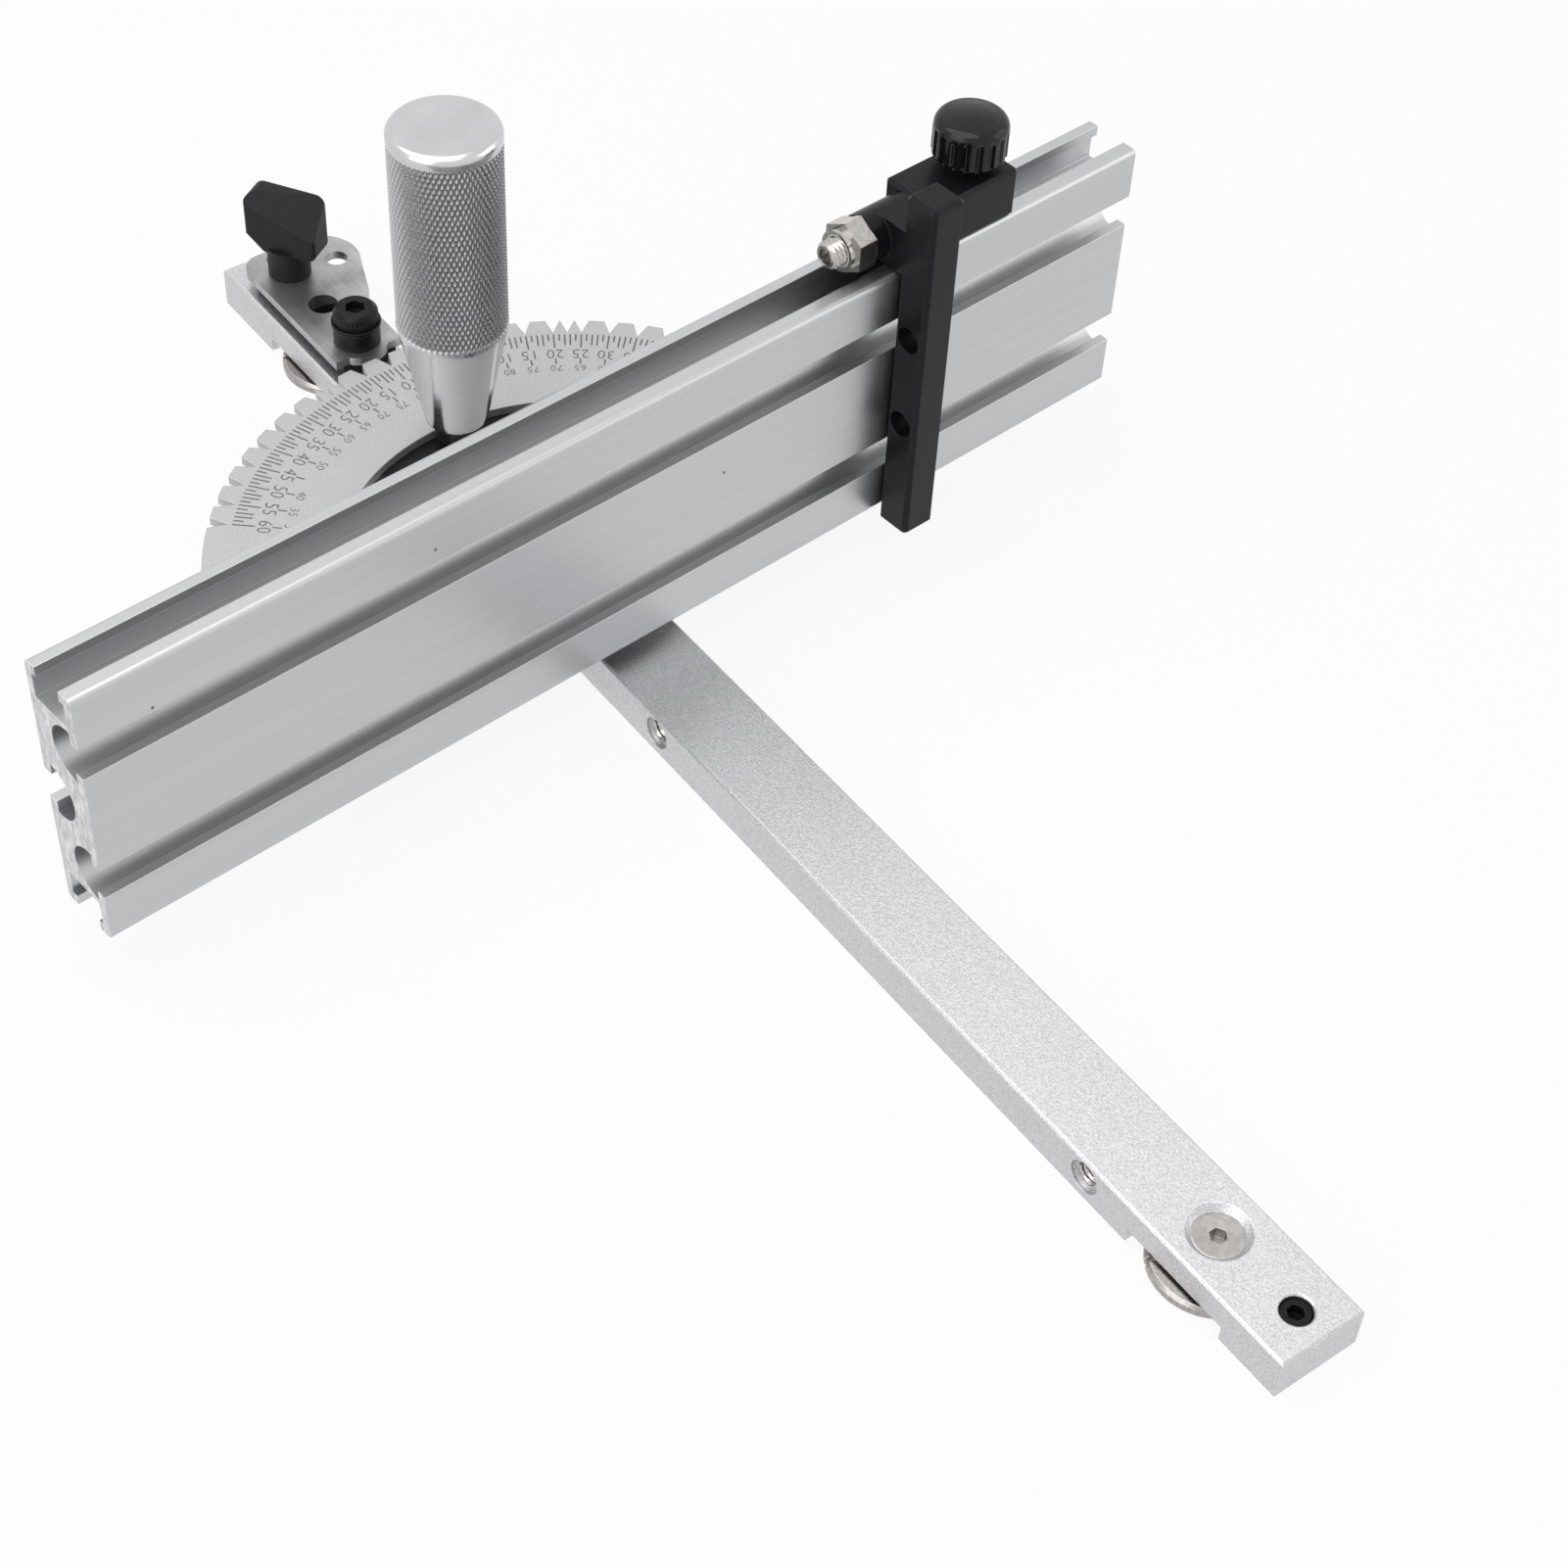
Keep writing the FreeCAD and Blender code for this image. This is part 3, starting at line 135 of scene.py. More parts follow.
# %% [markdown]
# Every finish below is a node tree. To keep the cells short we make small helpers: they start a
# material, add a node and set its inputs, mix two colours, and make grain from noise stretched
# along an axis. Grain always reads Object coordinates, which are the part's own metres, so it has
# a true scale and moves with its piece.

# %% Material helpers
EDGE_RADIUS = 0.3 * MM
CLOUD_SCALE = 35.0


def add(tree, kind, **inputs):
    """Adds a node and sets the inputs given by name, with spaces written as underscores."""
    node = tree.nodes.new(kind)
    for key, value in inputs.items():
        node.inputs[key.replace("_", " ")].default_value = value
    return node


def start(name):
    """New material with an empty principled surface; returns it, its tree and the shader."""
    material = bpy.data.materials.new(name)
    material.use_nodes = True
    tree = material.node_tree
    tree.nodes.clear()
    shader = tree.nodes.new("ShaderNodeBsdfPrincipled")
    output = tree.nodes.new("ShaderNodeOutputMaterial")
    tree.links.new(shader.outputs["BSDF"], output.inputs["Surface"])
    return material, tree, shader


def grain(tree, scale, stretch=(1.0, 1.0, 1.0), turn=0.0, detail=3.0):
    """Noise on Object coordinates, turned about Z and then stretched by the given factors."""
    place = tree.nodes.new("ShaderNodeTexCoord")
    turned = add(tree, "ShaderNodeMapping", Rotation=(0.0, 0.0, turn))
    scaled = add(tree, "ShaderNodeMapping", Scale=stretch)
    noise = add(tree, "ShaderNodeTexNoise", Scale=scale, Detail=detail, Roughness=0.6)
    tree.links.new(place.outputs["Object"], turned.inputs["Vector"])
    tree.links.new(turned.outputs["Vector"], scaled.inputs["Vector"])
    tree.links.new(scaled.outputs["Vector"], noise.inputs["Vector"])
    return noise.outputs["Fac"]


def spread(tree, value, low, high, from_low=0.3, from_high=0.7):
    """Stretches a noise value to run from low to high."""
    node = add(tree, "ShaderNodeMapRange", From_Min=from_low, From_Max=from_high, To_Min=low,
               To_Max=high)
    tree.links.new(value, node.inputs["Value"])
    return node.outputs["Result"]


def combine(tree, operation, *values):
    """Result of a math operation on values, each a plain number or another node's output."""
    node = tree.nodes.new("ShaderNodeMath")
    node.operation = operation
    for place, value in enumerate(values):
        if isinstance(value, float):
            node.inputs[place].default_value = value
        else:
            tree.links.new(value, node.inputs[place])
    return node.outputs["Value"]


def blend_colour(tree, factor, under, over):
    """Colour that goes from under to over as the factor goes from 0 to 1; plain or linked."""
    mix = tree.nodes.new("ShaderNodeMix")
    mix.data_type = "RGBA"
    tree.links.new(factor, mix.inputs["Factor"])
    for key, colour in (("A", under), ("B", over)):
        if isinstance(colour, tuple):
            mix.inputs[key].default_value = (*colour, 1.0)
        else:
            tree.links.new(colour, mix.inputs[key])
    return mix.outputs["Result"]


def relief(tree, shader, height, distance, normal=None):
    """Bump of a given depth in metres on the shader's normal."""
    bump = add(tree, "ShaderNodeBump", Distance=distance)
    tree.links.new(height, bump.inputs["Height"])
    if normal is not None:
        tree.links.new(normal, bump.inputs["Normal"])
    tree.links.new(bump.outputs["Normal"], shader.inputs["Normal"])


def edge_line(tree, radius):
    """1 on sharp edges, 0 on flats: how far a rounded normal leaves the true one; and that one."""
    rounded = add(tree, "ShaderNodeBevel", Radius=radius)
    rounded.samples = 6
    true = tree.nodes.new("ShaderNodeNewGeometry")
    dot = tree.nodes.new("ShaderNodeVectorMath")
    dot.operation = "DOT_PRODUCT"
    tree.links.new(rounded.outputs["Normal"], dot.inputs[0])
    tree.links.new(true.outputs["Normal"], dot.inputs[1])
    line = spread(tree, dot.outputs["Value"], 1.0, 0.0, from_low=0.80, from_high=0.985)
    return line, rounded.outputs["Normal"]


def wear_metal(name, dark, light, roughness, scale, stretch=(1.0, 1.0, 1.0), depth=0.0,
               metallic=1.0, edge=None, edge_highlight_colour=(0.8, 0.8, 0.8), specular=0.5):
    """Metal whose colour varies with a grain and gloss with clouds; where asked, a painted
    highlight makes sharp edges lighter.
    """
    material, tree, shader = start(name)
    shader.inputs["Metallic"].default_value = metallic
    shader.inputs["Specular IOR Level"].default_value = specular
    value = grain(tree, scale, stretch)
    clouds = grain(tree, CLOUD_SCALE)
    colour = blend_colour(tree, spread(tree, value, 0.0, 1.0), dark, light)
    tree.links.new(spread(tree, clouds, *roughness), shader.inputs["Roughness"])
    normal = None
    # Painted highlight: on sharp edges the colour is blended towards the pale edge colour.
    if edge:
        line, normal = edge_line(tree, EDGE_RADIUS)
        colour = blend_colour(tree, combine(tree, "MULTIPLY", line, edge), colour, edge_highlight_colour)
    tree.links.new(colour, shader.inputs["Base Color"])
    if depth:
        relief(tree, shader, value, depth, normal=normal)
    elif normal is not None:
        tree.links.new(normal, shader.inputs["Normal"])
    return material


print("material helpers ready")

# %% [markdown]
# The fence is drawn through a die, anodised, and then sawn to length. Its faces keep long faint
# lines along the draw, so their grain is about 170 times as long as wide. A few tiny pits are
# Voronoi cells whose distance falls under a small value. The two sawn ends have no such lines:
# where the coordinate along the fence passes its end, a coarse grain and a rough bump take over.
# We could split the mesh and give the ends a second material, but the solids' meshes stay as
# they are.

# %% Fence finish
FENCE_DARK, FENCE_LIGHT = (0.47, 0.475, 0.485), (0.56, 0.565, 0.575)
FENCE_EDGE = 0.25 * MM
DRAW_RELIEF = 0.012 * MM
SAWN_RELIEF = 0.35 * MM
SAWN_BAND = 0.06 * MM
SAWN_STEP = 0.02 * MM
PIT_SOFTNESS = 1.5
fence_half = span("fence_extrusion")[1][0]


def sawn_end(tree, limit):
    """1 where the Object coordinate along X lies beyond a limit on either side."""
    place = tree.nodes.new("ShaderNodeTexCoord")
    axes = tree.nodes.new("ShaderNodeSeparateXYZ")
    tree.links.new(place.outputs["Object"], axes.inputs["Vector"])
    size = combine(tree, "ABSOLUTE", axes.outputs["X"])
    return spread(tree, size, 0.0, 1.0, from_low=limit, from_high=limit + SAWN_STEP)


def pits(tree, scale, size):
    """1 inside sparse round pits: the distance to a Voronoi cell's point under a small value."""
    place = tree.nodes.new("ShaderNodeTexCoord")
    cells = add(tree, "ShaderNodeTexVoronoi", Scale=scale)
    tree.links.new(place.outputs["Object"], cells.inputs["Vector"])
    distance = cells.outputs["Distance"]
    return spread(tree, distance, 1.0, 0.0, from_low=size, from_high=size * PIT_SOFTNESS)


def drawn_fence():
    """Satin anodised extrusion: draw lines, pits and a painted edge highlight on its sides, saw
    marks on its ends.
    """
    material, tree, shader = start("satin_anodised_fence")
    shader.inputs["Metallic"].default_value = 1.0
    lines = grain(tree, scale=620.0, stretch=(0.006, 1.0, 1.0), detail=6.0)
    broad = grain(tree, scale=60.0, stretch=(0.02, 1.0, 1.0))
    shade = combine(tree, "MULTIPLY", spread(tree, lines, 0.55, 1.0),
                    spread(tree, broad, 0.75, 1.0))
    sides = blend_colour(tree, shade, FENCE_DARK, FENCE_LIGHT)
    sides = blend_colour(tree, pits(tree, scale=75.0, size=0.022), sides, (0.16, 0.16, 0.16))
    # Painted highlight: the sharp edges of the fence are blended towards near white.
    edge, normal = edge_line(tree, FENCE_EDGE)
    edge = spread(tree, edge, 0.0, 0.6, from_low=0.0, from_high=1.0)
    sides = blend_colour(tree, edge, sides, (0.88, 0.88, 0.89))
    torn = grain(tree, scale=1100.0, stretch=(1.0, 1.0, 0.35), detail=6.0)
    patches = spread(tree, torn, 0.0, 1.0)
    ends = blend_colour(tree, patches, (0.42, 0.42, 0.43), (0.86, 0.86, 0.87))
    end = sawn_end(tree, fence_half - SAWN_BAND)
    tree.links.new(blend_colour(tree, end, sides, ends), shader.inputs["Base Color"])
    tree.links.new(spread(tree, broad, 0.30, 0.42), shader.inputs["Roughness"])
    smooth = add(tree, "ShaderNodeBump", Distance=DRAW_RELIEF)
    tree.links.new(lines, smooth.inputs["Height"])
    tree.links.new(normal, smooth.inputs["Normal"])
    rough = add(tree, "ShaderNodeBump", Distance=SAWN_RELIEF)
    tree.links.new(torn, rough.inputs["Height"])
    tree.links.new(end, rough.inputs["Strength"])
    tree.links.new(smooth.outputs["Normal"], rough.inputs["Normal"])
    tree.links.new(rough.outputs["Normal"], shader.inputs["Normal"])
    return material


fence_finish = drawn_fence()
bracket_finish = wear_metal("satin_bracket", (0.48, 0.48, 0.49), (0.58, 0.58, 0.59),
                            roughness=(0.35, 0.45), scale=700.0, stretch=(0.02, 1.0, 1.0),
                            depth=0.01 * MM)
print("fence finish:", fence_finish.name, "to", round(fence_half / MM, 1), "mm")

# %% [markdown]
# The photograph shows the bar pale and matte with a fine sparkle, as blasted steel looks. A noise
# that is the same in every direction gives that: grains of about 0.4 mm in the colour, and the
# same grains as a bump. A lighter line along the edges, a painted highlight, keeps them readable
# on the pale faces.

# %% Bar finish
bar_finish = wear_metal("blasted_bar", (0.46, 0.46, 0.475), (0.73, 0.73, 0.745),
                        roughness=(0.34, 0.46), scale=2600.0, depth=0.08 * MM, edge=0.35,
                        edge_highlight_colour=(0.92, 0.92, 0.93))
# Darker than the screws: partly the discs' own turned grey, partly painted shade from their place
# under the bar.
disc_painted_shade_finish = wear_metal("turned_stainless_painted_shade", (0.30, 0.285, 0.27), (0.46, 0.44, 0.42),
                         roughness=(0.22, 0.34), scale=1200.0, stretch=(1.0, 1.0, 0.05),
                         depth=0.01 * MM, edge=0.4)
screw_finish = wear_metal("warm_stainless", (0.36, 0.345, 0.33), (0.50, 0.485, 0.465),
                          roughness=(0.26, 0.38), scale=800.0, depth=0.01 * MM, edge=0.5)
nickel_finish = wear_metal("bright_nickel", (0.42, 0.405, 0.385), (0.56, 0.545, 0.52),
                           roughness=(0.12, 0.22), scale=900.0, depth=0.004 * MM)
print("bar finish:", bar_finish.name)

# %% [markdown]
# The protractor plate looks flat and matte, as plated steel does: pale grey, less metallic than
# the bar, with a fine tooth that takes the shine away. The index plate is plainer steel, brushed
# along the bar, with broad clouds that darken it strongly.

# %% Plate finishes
plate_finish = wear_metal("matte_plated_steel", (0.47, 0.465, 0.465), (0.58, 0.575, 0.575),
                          roughness=(0.48, 0.58), scale=2600.0, depth=0.04 * MM, metallic=0.75,
                          edge=0.4)


def brushed_index():
    """Brushed steel with darker clouds: long grain along the bar, mixed with broad dark clouds."""
    material, tree, shader = start("clouded_index_steel")
    shader.inputs["Metallic"].default_value = 0.95
    lines = grain(tree, scale=1500.0, stretch=(1.0, 0.03, 1.0), turn=BAR_TURN)
    clouds = grain(tree, scale=130.0, detail=5.0)
    shade = combine(tree, "MULTIPLY", spread(tree, lines, 0.75, 1.0),
                    spread(tree, clouds, 0.35, 1.0))
    colour = blend_colour(tree, shade, (0.16, 0.16, 0.165), (0.58, 0.58, 0.58))
    tree.links.new(colour, shader.inputs["Base Color"])
    tree.links.new(spread(tree, clouds, 0.42, 0.26), shader.inputs["Roughness"])
    relief(tree, shader, lines, 0.01 * MM)
    return material


index_finish = brushed_index()
print("plate finishes:", plate_finish.name, index_finish.name)

# %% [markdown]
# Black pieces need four different blacks. The stop is black anodised aluminium: satin, with a
# painted highlight that makes its thin edges paler. The clamping knob is moulded gloss plastic.
# The wing knob is moulded with a matte sparked texture. Black-oxide screws sit between: dark
# metal with a soft shine, and the same painted highlight on their edges.

# %% Black finishes
black_anodised = wear_metal("black_anodised", (0.006, 0.006, 0.007), (0.013, 0.013, 0.015),
                            roughness=(0.28, 0.38), scale=1800.0, depth=0.01 * MM,
                            metallic=0.15, edge=0.3, edge_highlight_colour=(0.16, 0.16, 0.17),
                            specular=0.18)
black_oxide = wear_metal("black_oxide", (0.006, 0.006, 0.006), (0.018, 0.017, 0.017),
                         roughness=(0.3, 0.42), scale=1500.0, depth=0.01 * MM, metallic=0.2,
                         edge=0.3, edge_highlight_colour=(0.12, 0.12, 0.12), specular=0.18)


def plastic(name, dark, light, roughness, scale, depth, specular=0.2):
    """Moulded plastic: nearly one colour, with a fine sparked texture in its bump."""
    material, tree, shader = start(name)
    shader.inputs["Specular IOR Level"].default_value = specular
    value = grain(tree, scale)
    tree.links.new(blend_colour(tree, value, dark, light), shader.inputs["Base Color"])
    clouds = grain(tree, scale=60.0)
    tree.links.new(spread(tree, clouds, *roughness), shader.inputs["Roughness"])
    relief(tree, shader, value, depth)
    return material


gloss_black = plastic("gloss_black_knob", (0.006, 0.006, 0.007), (0.012, 0.012, 0.013),
                      roughness=(0.06, 0.12), scale=900.0, depth=0.002 * MM, specular=0.3)
matte_black = plastic("matte_black_knob", (0.008, 0.008, 0.009), (0.018, 0.018, 0.020),
                      roughness=(0.40, 0.52), scale=2400.0, depth=0.03 * MM)
nylon = plastic("white_nylon", (0.62, 0.61, 0.55), (0.74, 0.73, 0.67),
                roughness=(0.35, 0.45), scale=700.0, depth=0.005 * MM)
print("black finishes ready")

# %% [markdown]
# Each solid takes its finish by name. A table from finish to nodes reads better than thirty
# assignments, and it lets us check that no node was forgotten.

# %% Give the solids their finishes
FINISHES = [
    (fence_finish, ["fence_extrusion"]),
    (bracket_finish, ["fence_bracket"]),
    (bar_finish, ["miter_bar"]),
    (plate_finish, ["protractor_plate"]),
    (index_finish, ["index_plate"]),
    (disc_painted_shade_finish, ["front_retaining_disc", "rear_retaining_disc", "pivot_bush"]),
    (screw_finish, ["front_disc_screw", "rear_disc_screw"]),
    (nickel_finish, ["fence_bolts", "fence_bolt_washers", "fence_bolt_nuts", "handle_stud",
                     "wing_stud", "hinge_stud", "hinge_nut", "stop_knob_stud", "stop_t_nut",
                     "lock_handle"]),
    (black_anodised, ["stop_block", "stop_arm"]),
    (black_oxide, ["end_set_screw", "pivot_screw", "bracket_screws", "index_pin",
                   "index_pin_screw"]),
    # The clamp pad and the index spacer are black partly as painted shade: they fill the dark
    # under the plates.
    (matte_black, ["clamp_pad", "index_spacer", "handle_washer", "wing_knob"]),
    (gloss_black, ["stop_knob"]),
    (nylon, ["nut_insert"]),
]
dressed = set()
for finish, names in FINISHES:
    for name in names:
        nodes[name].data.materials.clear()
        nodes[name].data.materials.append(finish)
        dressed.add(name)
print("without a finish:", sorted(set(nodes) - dressed))

# %% [markdown]
# New pieces are grids of points. A grid is closed round one way (a turned form), so we join its
# last column to its first, and close both ends with a fan to a centre point. One helper writes
# the points and faces into a mesh. Threads and knurls share one triangle wave.

# %% Mesh helpers
SHARP_ANGLE = math.radians(38.0)


def mesh_piece(name, points, faces, body, slot, finish, smooth=True):
    """Makes a piece from arrays of points and faces, gives it its finish and its body."""
    mesh = bpy.data.meshes.new(name)
    mesh.from_pydata(np.asarray(points).tolist(), [], [list(face) for face in faces])
    mesh.polygons.foreach_set("use_smooth", np.full(len(mesh.polygons), smooth))
    mesh.materials.append(finish)
    mesh.update()
    if smooth:
        mesh.set_sharp_from_angle(angle=SHARP_ANGLE)
    piece = bpy.data.objects.new(name, mesh)
    bpy.context.scene.collection.objects.link(piece)
    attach(piece, body)
    return piece


def ring_faces(rows, columns, tube=False):
    """Quads between rows of a grid that closes round its columns; a tube's rows close as well."""
    bands = rows if tube else rows - 1
    row, column = np.meshgrid(np.arange(bands), np.arange(columns), indexing="ij")
    below, following = (row + 1) % rows, (column + 1) % columns
    quads = np.stack([row * columns + column, row * columns + following,
                      below * columns + following, below * columns + column], axis=-1)
    return quads.reshape(-1, 4).tolist()


def turned_solid(grid):
    """Points and faces of a turned grid, rows by columns by 3, closed by a fan at each end."""
    rows, columns = grid.shape[:2]
    points = np.concatenate([grid.reshape(-1, 3), grid[0].mean(0)[None], grid[-1].mean(0)[None]])
    faces = ring_faces(rows, columns)
    column = np.arange(columns)
    following = (column + 1) % columns
    low, high = rows * columns, rows * columns + 1
    bottom = np.stack([following, column, np.full(columns, low)], axis=-1)
    last = (rows - 1) * columns
    top = np.stack([last + column, last + following, np.full(columns, high)], axis=-1)
    return points, faces + bottom.tolist() + top.tolist()


def turned_grid(radius, height, turns, centre):
    """Grid about an upright axis: x and y are radius times cosine and sine of the turn."""
    x = centre[0] + radius * np.cos(turns)
    y = centre[1] + radius * np.sin(turns)
    return np.stack([x, y, np.broadcast_to(height, radius.shape)], axis=-1)


def full_turn(columns):
    """Angles of a grid's columns: equal steps round the circle, as one row."""
    return np.linspace(0.0, 2 * math.pi, columns, endpoint=False)[None, :]


def triangle_wave(place):
    """1 at whole numbers and 0 halfway between them, in straight lines."""
    return np.abs(2 * np.mod(place, 1.0) - 1)


def stepped_line(corners, samples):
    """Points at even steps and at the corners of a line through (radius, height) corners."""
    corners = np.array(corners)
    steps = np.concatenate([[0.0], np.cumsum(np.linalg.norm(np.diff(corners, axis=0), axis=1))])
    at = np.unique(np.concatenate([np.linspace(0.0, steps[-1], samples), steps]))
    return np.stack([np.interp(at, steps, corners[:, k]) for k in (0, 1)], axis=-1)


print("mesh helpers ready")

# %% [markdown]
# The handle is turned aluminium with a diamond knurl. A knurling tool rolls two sets of V grooves
# that cross, and leaves a pyramid between four grooves. In a formula that is simple: follow two
# helices of opposite hand, let each groove's depth be a triangle wave across it, and keep the
# deeper of the two. The knurl fades out below the polished rim and above the plain shank. We
# could use a bump for it, but the outline of the grip shows the teeth, so they are real. The
# grooves also get painted shade: their colour darkens with their depth.

# %% Knurled handle
KNURL_AROUND = 64
KNURL_ANGLE = math.radians(25.0)
KNURL_DEPTH = 0.45 * MM
KNURL_STEPS = 6
KNURL_ROW = 0.26 * MM
KNURL_FADE_LOW, KNURL_FADE_HIGH = 0.8 * MM, 0.5 * MM
GRIP_RISE = 27.2 * MM
NECK = [(4.87 * MM, 0.0), (6.5 * MM, 2.0 * MM), (6.72 * MM, 2.3 * MM)]
SHANK_STEPS = 16
RIM_ROUND = 1.8 * MM
RIM_BAND = 1.0 * MM
RIM_STEPS = 12
CROWN_CENTRE = 0.4 * MM
CROWN_RINGS = 4
foot, top = handle_low[2], handle_high[2]
grip_radius = (handle_high[0] - handle_low[0]) / 2
grip_start = foot + GRIP_RISE
print("grip radius", round(grip_radius / MM, 2), "mm, height", round((top - foot) / MM, 1), "mm")


def handle_profile():
    """Neck cone, tapered shank, straight grip, then a quarter round at the rim."""
    turn = np.linspace(0.0, math.pi / 2, RIM_STEPS)
    rim = np.stack([grip_radius - RIM_ROUND * (1 - np.cos(turn)),
                    top - RIM_ROUND * (1 - np.sin(turn))], axis=-1)
    neck = [(radius, foot + height) for radius, height in NECK]
    shank = stepped_line([neck[-1], (grip_radius, grip_start)], SHANK_STEPS)[1:]
    rows = round((top - RIM_ROUND - grip_start) / KNURL_ROW)
    grip = np.stack([np.full(rows, grip_radius),
                     np.linspace(grip_start, top - RIM_ROUND, rows + 1)[1:]], axis=-1)
    crown = np.stack([np.linspace(rim[-1, 0], CROWN_CENTRE, CROWN_RINGS + 1)[1:],
                      np.full(CROWN_RINGS, top)], axis=-1)
    return np.concatenate([np.array(neck), shank, grip, rim[1:], crown])


def knurl(turns, height):
    """Depth of the crossed grooves: the larger of two triangle waves along opposite helices."""
    lead = KNURL_AROUND * math.tan(KNURL_ANGLE) / (2 * math.pi * grip_radius)
    around = KNURL_AROUND * turns / (2 * math.pi)
    waves = [triangle_wave(around + hand * lead * height) for hand in (1, -1)]
    low = np.clip((height - grip_start) / KNURL_FADE_LOW, 0.0, 1.0)
    high = np.clip((top - RIM_ROUND - RIM_BAND - height) / KNURL_FADE_HIGH, 0.0, 1.0)
    return KNURL_DEPTH * np.maximum(*waves) * low * high


def make_handle():
    """Turned grid of the profile, less the knurl's depth at each point, and those depths."""
    profile = handle_profile()
    turns = full_turn(KNURL_AROUND * KNURL_STEPS)
    height = profile[:, 1][:, None]
    depth = knurl(turns, height)
    radius = profile[:, 0][:, None] - depth
    return turned_solid(turned_grid(radius, height, turns, handle_axis)), depth / KNURL_DEPTH


def knurled_finish():
    """Bright turned aluminium with fine rings; a value at each point paints shade into the
    grooves.
    """
    material, tree, shader = start("knurled_aluminium")
    shader.inputs["Metallic"].default_value = 1.0
    rings = grain(tree, scale=2500.0, stretch=(0.05, 0.05, 1.0))
    groove_shade = tree.nodes.new("ShaderNodeAttribute")
    groove_shade.attribute_name = "groove_shade"
    bright = blend_colour(tree, rings, (0.53, 0.53, 0.54), (0.66, 0.66, 0.67))
    # Painted shade: the deeper a point lies in a groove, the darker its colour.
    deep = spread(tree, groove_shade.outputs["Fac"], 0.0, 1.0, from_low=0.35, from_high=1.0)
    tree.links.new(blend_colour(tree, deep, bright, (0.20, 0.20, 0.205)),
                   shader.inputs["Base Color"])
    tree.links.new(spread(tree, rings, 0.14, 0.24), shader.inputs["Roughness"])
    relief(tree, shader, rings, 0.004 * MM)
    return material


handle_finish = knurled_finish()
handle_solid, groove = make_handle()
knurled = mesh_piece("knurled_handle", *handle_solid, "handle", "knurled_aluminium", handle_finish)
groove_shade_values = knurled.data.attributes.new("groove_shade", "FLOAT", "POINT")
# Groove depths per point paint shade; the two centre points that close the ends come last and have
# no groove.
groove_shade_values.data.foreach_set("value", np.append(groove.ravel(), [0.0, 0.0]))
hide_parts("lock_handle")
print("knurled handle:", len(knurled.data.polygons), "faces")

# %% [markdown]
# The real scale is engraved and filled with grey. The solids aren't cut here, so each tick is a
# very thin closed box let half into the steel: an inner and an outer radius, a width, and an
# angle. Every tick is one row of an array, so all corners come from one formula. On every fifth
# ray a short link stands between the two rows of numbers.

# %% Engraved ticks
TICK_WIDTH = 0.34 * MM
TICK_RISE = 0.02 * MM
TICK_OUTER = 70.7 * MM
TICK_INNER = {"long": 66.0 * MM, "medium": 66.9 * MM, "short": 68.5 * MM}
LINK_INNER, LINK_OUTER = 60.4 * MM, 62.3 * MM
SCALE_REACH = 60


def tick_inner(degrees):
    """Inner radius of each tick: long at fives, medium beside the middle, short beside a five."""
    step = np.mod(degrees, 5)
    inner = np.where((step == 2) | (step == 3), TICK_INNER["medium"], TICK_INNER["short"])
    return np.where(step == 0, TICK_INNER["long"], inner)


def bars(inner, outer, turn, width):
    """Thin boxes along rays: corners are radius along the ray plus half a width across it."""
    turn = np.asarray(turn)
    along = np.stack([-np.sin(turn), np.cos(turn)], axis=-1)
    across = np.stack([np.cos(turn), np.sin(turn)], axis=-1)
    ends = np.stack([inner, outer, outer, inner], axis=-1)
    sides = np.array([-0.5, -0.5, 0.5, 0.5]) * width
    flat = along[:, None] * ends[..., None] + across[:, None] * sides[None, :, None]
    low = np.concatenate([flat, np.full((*flat.shape[:2], 1), plate_top - TICK_RISE)], axis=-1)
    high = np.concatenate([flat, np.full((*flat.shape[:2], 1), plate_top + TICK_RISE)], axis=-1)
    points = np.concatenate([low, high], axis=1).reshape(-1, 3)
    box = np.array([[0, 1, 2, 3], [7, 6, 5, 4], [4, 5, 1, 0], [5, 6, 2, 1], [6, 7, 3, 2],
                    [7, 4, 0, 3]])
    faces = (box[None] + 8 * np.arange(len(turn))[:, None, None]).reshape(-1, 4)
    return points, faces


degrees = np.arange(-SCALE_REACH, SCALE_REACH + 1)
tick_turn = np.radians(degrees) - SCALE_OFFSET
tick_points, tick_faces = bars(tick_inner(degrees), np.full(len(degrees), TICK_OUTER), tick_turn,
                               TICK_WIDTH)
fives = degrees[np.mod(degrees, 5) == 0]
link_points, link_faces = bars(np.full(len(fives), LINK_INNER), np.full(len(fives), LINK_OUTER),
                               np.radians(fives) - SCALE_OFFSET, TICK_WIDTH)
print("ticks:", len(degrees), "links:", len(fives))

# %% [markdown]
# The numbers are generic dial numbers: degrees in the outer row, and what is left to ninety in
# the smaller inner row, which leaves out 45, where both would read the same. Blender's own text
# object draws each digit once. We turn it into a mesh of height one, set the digits of a number
# side by side at a fixed pitch, and lay it on its ray with its top to the pivot.

# %% Engraved numbers
OUTER_ROW = {"radius": 63.9 * MM, "height": 2.9 * MM, "pitch": 2.05 * MM}
INNER_ROW = {"radius": 59.0 * MM, "height": 1.9 * MM, "pitch": 1.4 * MM}
DIGIT_SQUEEZE = 0.92
DIGIT_THINNING = -0.012
DIGIT_EXTRUDE = 0.01
DIGIT_CURVE_STEPS = 3
RIGHT_ANGLE = 90


